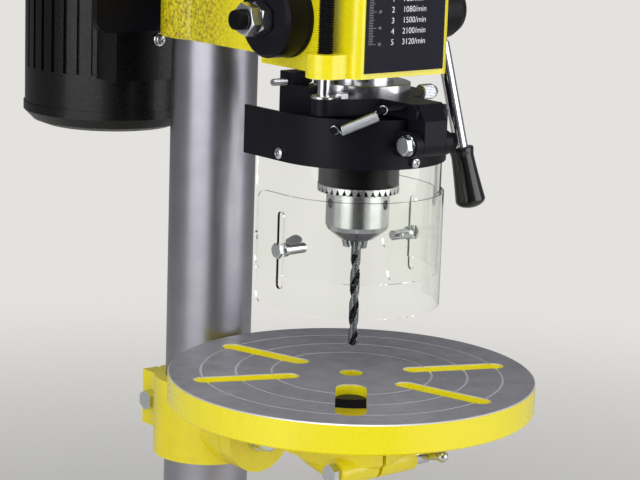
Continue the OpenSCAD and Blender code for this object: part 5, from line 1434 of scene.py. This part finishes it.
@dataclass
class Studio:
    """Pale floor, soft lamps and the photograph's camera: a stage in metres, a camera in millimetres."""

    yaw: float = 39.79
    pitch: float = 11.71
    roll: float = 1.91
    focal_px: float = 2200.0
    width_px: float = 640.0
    height_px: float = 480.0
    distance: float = 1418.0
    aim: Triple = (0.0, -45.0, 420.0)
    aim_px: Pair = (358.42, 185.03)
    sensor: float = 36.0
    clip: Pair = (0.05, 100.0)
    backdrop_tone: str = "#E4E2DE"
    sky_tone: str = "#DCDFE6"
    sky_strength: float = 0.3
    floor_reach: float = 20.0
    glow_span: Pair = (0.45, 1.5)
    card_away: float = 0.23
    card_half: float = 0.15
    card_core: float = 0.35
    card_levels: Pair = (0.2, 0.5)
    lamps_round: Triple = (0.0, 0.0, 0.42)
    lamps: tuple[SoftBox, ...] = (SoftBox("left_soft_box", -34, 9, 2.2, (2.3, 1.8), 30),
                                  SoftBox("right_soft_box", 68, 9, 2.2, (2.1, 1.8), 30),
                                  SoftBox("top_soft_box", -10, 68, 2.2, (1.6, 1.2), 26))

    def camera(self) -> None:
        """Place the camera so that the aim point falls on its pixel."""
        yaw, pitch, roll = (math.radians(v) for v in (self.yaw, self.pitch, self.roll))
        look = np.array([math.sin(yaw) * math.cos(pitch), math.cos(yaw) * math.cos(pitch), -math.sin(pitch)])
        level = np.array([math.cos(yaw), -math.sin(yaw), 0.0])
        upright = np.cross(level, look)
        right = math.cos(roll) * level + math.sin(roll) * upright
        up = -math.sin(roll) * level + math.cos(roll) * upright
        off_x = (self.aim_px[0] - self.width_px / 2) / self.focal_px
        off_y = (self.aim_px[1] - self.height_px / 2) / self.focal_px
        eye = np.array(self.aim) - (look + off_x * right - off_y * up) * self.distance
        data = bpy.data.cameras.new("photo_camera")
        data.sensor_width = self.sensor
        data.lens = self.focal_px * self.sensor / self.width_px
        data.clip_start, data.clip_end = self.clip
        axes = np.eye(4)
        axes[:3, :4] = np.stack([right, up, -look, eye * MM], axis=1)
        camera = put("photo_camera", data)
        camera.matrix_world = Matrix(axes.tolist())
        bpy.context.scene.camera = camera

    def out(self, turn: float, rise: float) -> Vector:
        """Give the direction at angles to the right of the camera's side and up, in degrees."""
        side, lift = math.radians(self.yaw + 180 - turn), math.radians(rise)
        return Vector((math.sin(side) * math.cos(lift), math.cos(side) * math.cos(lift), math.sin(lift)))

    def hang(self, box: SoftBox) -> None:
        """Hang a soft box round the object, unseen by the camera itself.

        Args:
            box: The lamp.
        """
        out = self.out(box.turn, box.rise)
        data = bpy.data.lights.new(box.name, "AREA")
        data.shape, data.energy = "RECTANGLE", box.power
        data.size, data.size_y = box.size
        lamp = put(box.name, data)
        lamp.location = Vector(self.lamps_round) + out * box.away
        lamp.rotation_euler = out.to_track_quat("Z", "Y").to_euler()
        lamp.visible_camera = False

    def sheet(self, name: str, corners: list[Triple], paper: Finish) -> bpy.types.Object:
        """Put a flat sheet on the stage.

        Args:
            name: The sheet's name.
            corners: Its four corners, in metres.
            paper: Its finish.

        Returns:
            The sheet.
        """
        mesh = bpy.data.meshes.new(name)
        mesh.from_pydata(corners, [], [(0, 1, 2, 3)])
        mesh.materials.append(paper.material())
        made = put(name, mesh)
        return made

    def card(self) -> None:
        """Stand a dark card with soft sides before the chuck, seen in mirrors only, to show metal's form."""
        out, wide = self.out(0, 0), self.card_half
        low, high = self.card_levels
        aside = Vector((-out.y, out.x, 0.0))
        foot = Vector(tuple(SPINDLE * MM)) + out * self.card_away
        corners = [tuple(foot + aside * wide * side + Vector((0, 0, level)))
                   for side, level in ((-1, low), (1, low), (1, high), (-1, high))]
        card = self.sheet("dark_card", corners, DARK_CARD)
        card.visible_camera = card.visible_diffuse = card.visible_shadow = False
        tree = DARK_CARD.material().node_tree
        local = add_node(tree, "ShaderNodeVectorMath", {0: object_place(tree), 1: tuple(foot)},
                         operation="SUBTRACT")
        off = add_node(tree, "ShaderNodeVectorMath", {0: local.outputs["Vector"], 1: tuple(aside)},
                       operation="DOT_PRODUCT")
        far = reckon(tree, "ABSOLUTE", off.outputs["Value"])
        fade = remap(tree, far, (wide * self.card_core, wide), (1.0, 0.0), interpolation_type="SMOOTHSTEP")
        set_inputs(tree, tree.nodes["Principled BSDF"], {"Alpha": fade})

    def floor(self) -> None:
        """Lay a pale floor far past the frame: it keeps the shadow near by, and glows to the eye far off."""
        reach = self.floor_reach
        corners = [(-reach, -reach, 0), (reach, -reach, 0), (reach, reach, 0), (-reach, reach, 0)]
        self.sheet("studio_floor", corners, FLOOR_PAPER)
        tree = FLOOR_PAPER.material().node_tree
        away = add_node(tree, "ShaderNodeVectorMath", {0: object_place(tree)}, operation="LENGTH")
        far = remap(tree, away.outputs["Value"], self.glow_span, interpolation_type="SMOOTHSTEP")
        share = reckon(tree, "MULTIPLY", far, self.seen(tree))
        glow = add_node(tree, "ShaderNodeEmission", {"Color": linear(self.backdrop_tone), "Strength": 1.0})
        both = add_node(tree, "ShaderNodeMixShader", {
            0: share, 1: tree.nodes["Principled BSDF"].outputs[0], 2: glow.outputs[0]})
        set_inputs(tree, tree.nodes["Material Output"], {"Surface": both.outputs[0]})

    def seen(self, tree: Tree) -> Socket:
        """Tell the rays of the eye, also through clear sheets, from those that light things."""
        ray = add_node(tree, "ShaderNodeLightPath").outputs
        return reckon(tree, "MAXIMUM", ray["Is Camera Ray"], ray["Is Transmission Ray"])

    def sky(self) -> None:
        """Light softly from all round, and show a pale backdrop to the eye and through clear sheets."""
        world = bpy.data.worlds.new("studio_world")
        world.use_nodes = True
        tree = world.node_tree
        pale = linear(self.backdrop_tone)
        backdrop = add_node(tree, "ShaderNodeBackground", {"Color": pale, "Strength": 1.0})
        dim = tree.nodes["Background"]
        set_inputs(tree, dim, {"Color": linear(self.sky_tone), "Strength": self.sky_strength})
        both = add_node(tree, "ShaderNodeMixShader", {
            0: self.seen(tree), 1: dim.outputs[0], 2: backdrop.outputs[0]})
        set_inputs(tree, tree.nodes["World Output"], {"Surface": both.outputs[0]})
        bpy.context.scene.world = world

    def build(self) -> None:
        """Set the stage."""
        self.camera()
        self.floor()
        self.card()
        self.sky()
        for box in self.lamps:
            self.hang(box)
        bpy.context.scene.view_settings.view_transform = "Standard"


def main() -> None:
    """Build the studio and each sub-assembly, logging each as it is built."""
    logging.basicConfig(level=logging.INFO, format="%(message)s")
    parts = [Studio(), Stand(), LabelPrint(), Drive(), Feed(), Chuck(), DepthStop(), ChuckGuard(),
             TableUnit()]
    for part in parts:
        part.build()
        log.info("built %s", type(part).__name__)


if __name__ == "__main__":
    main()
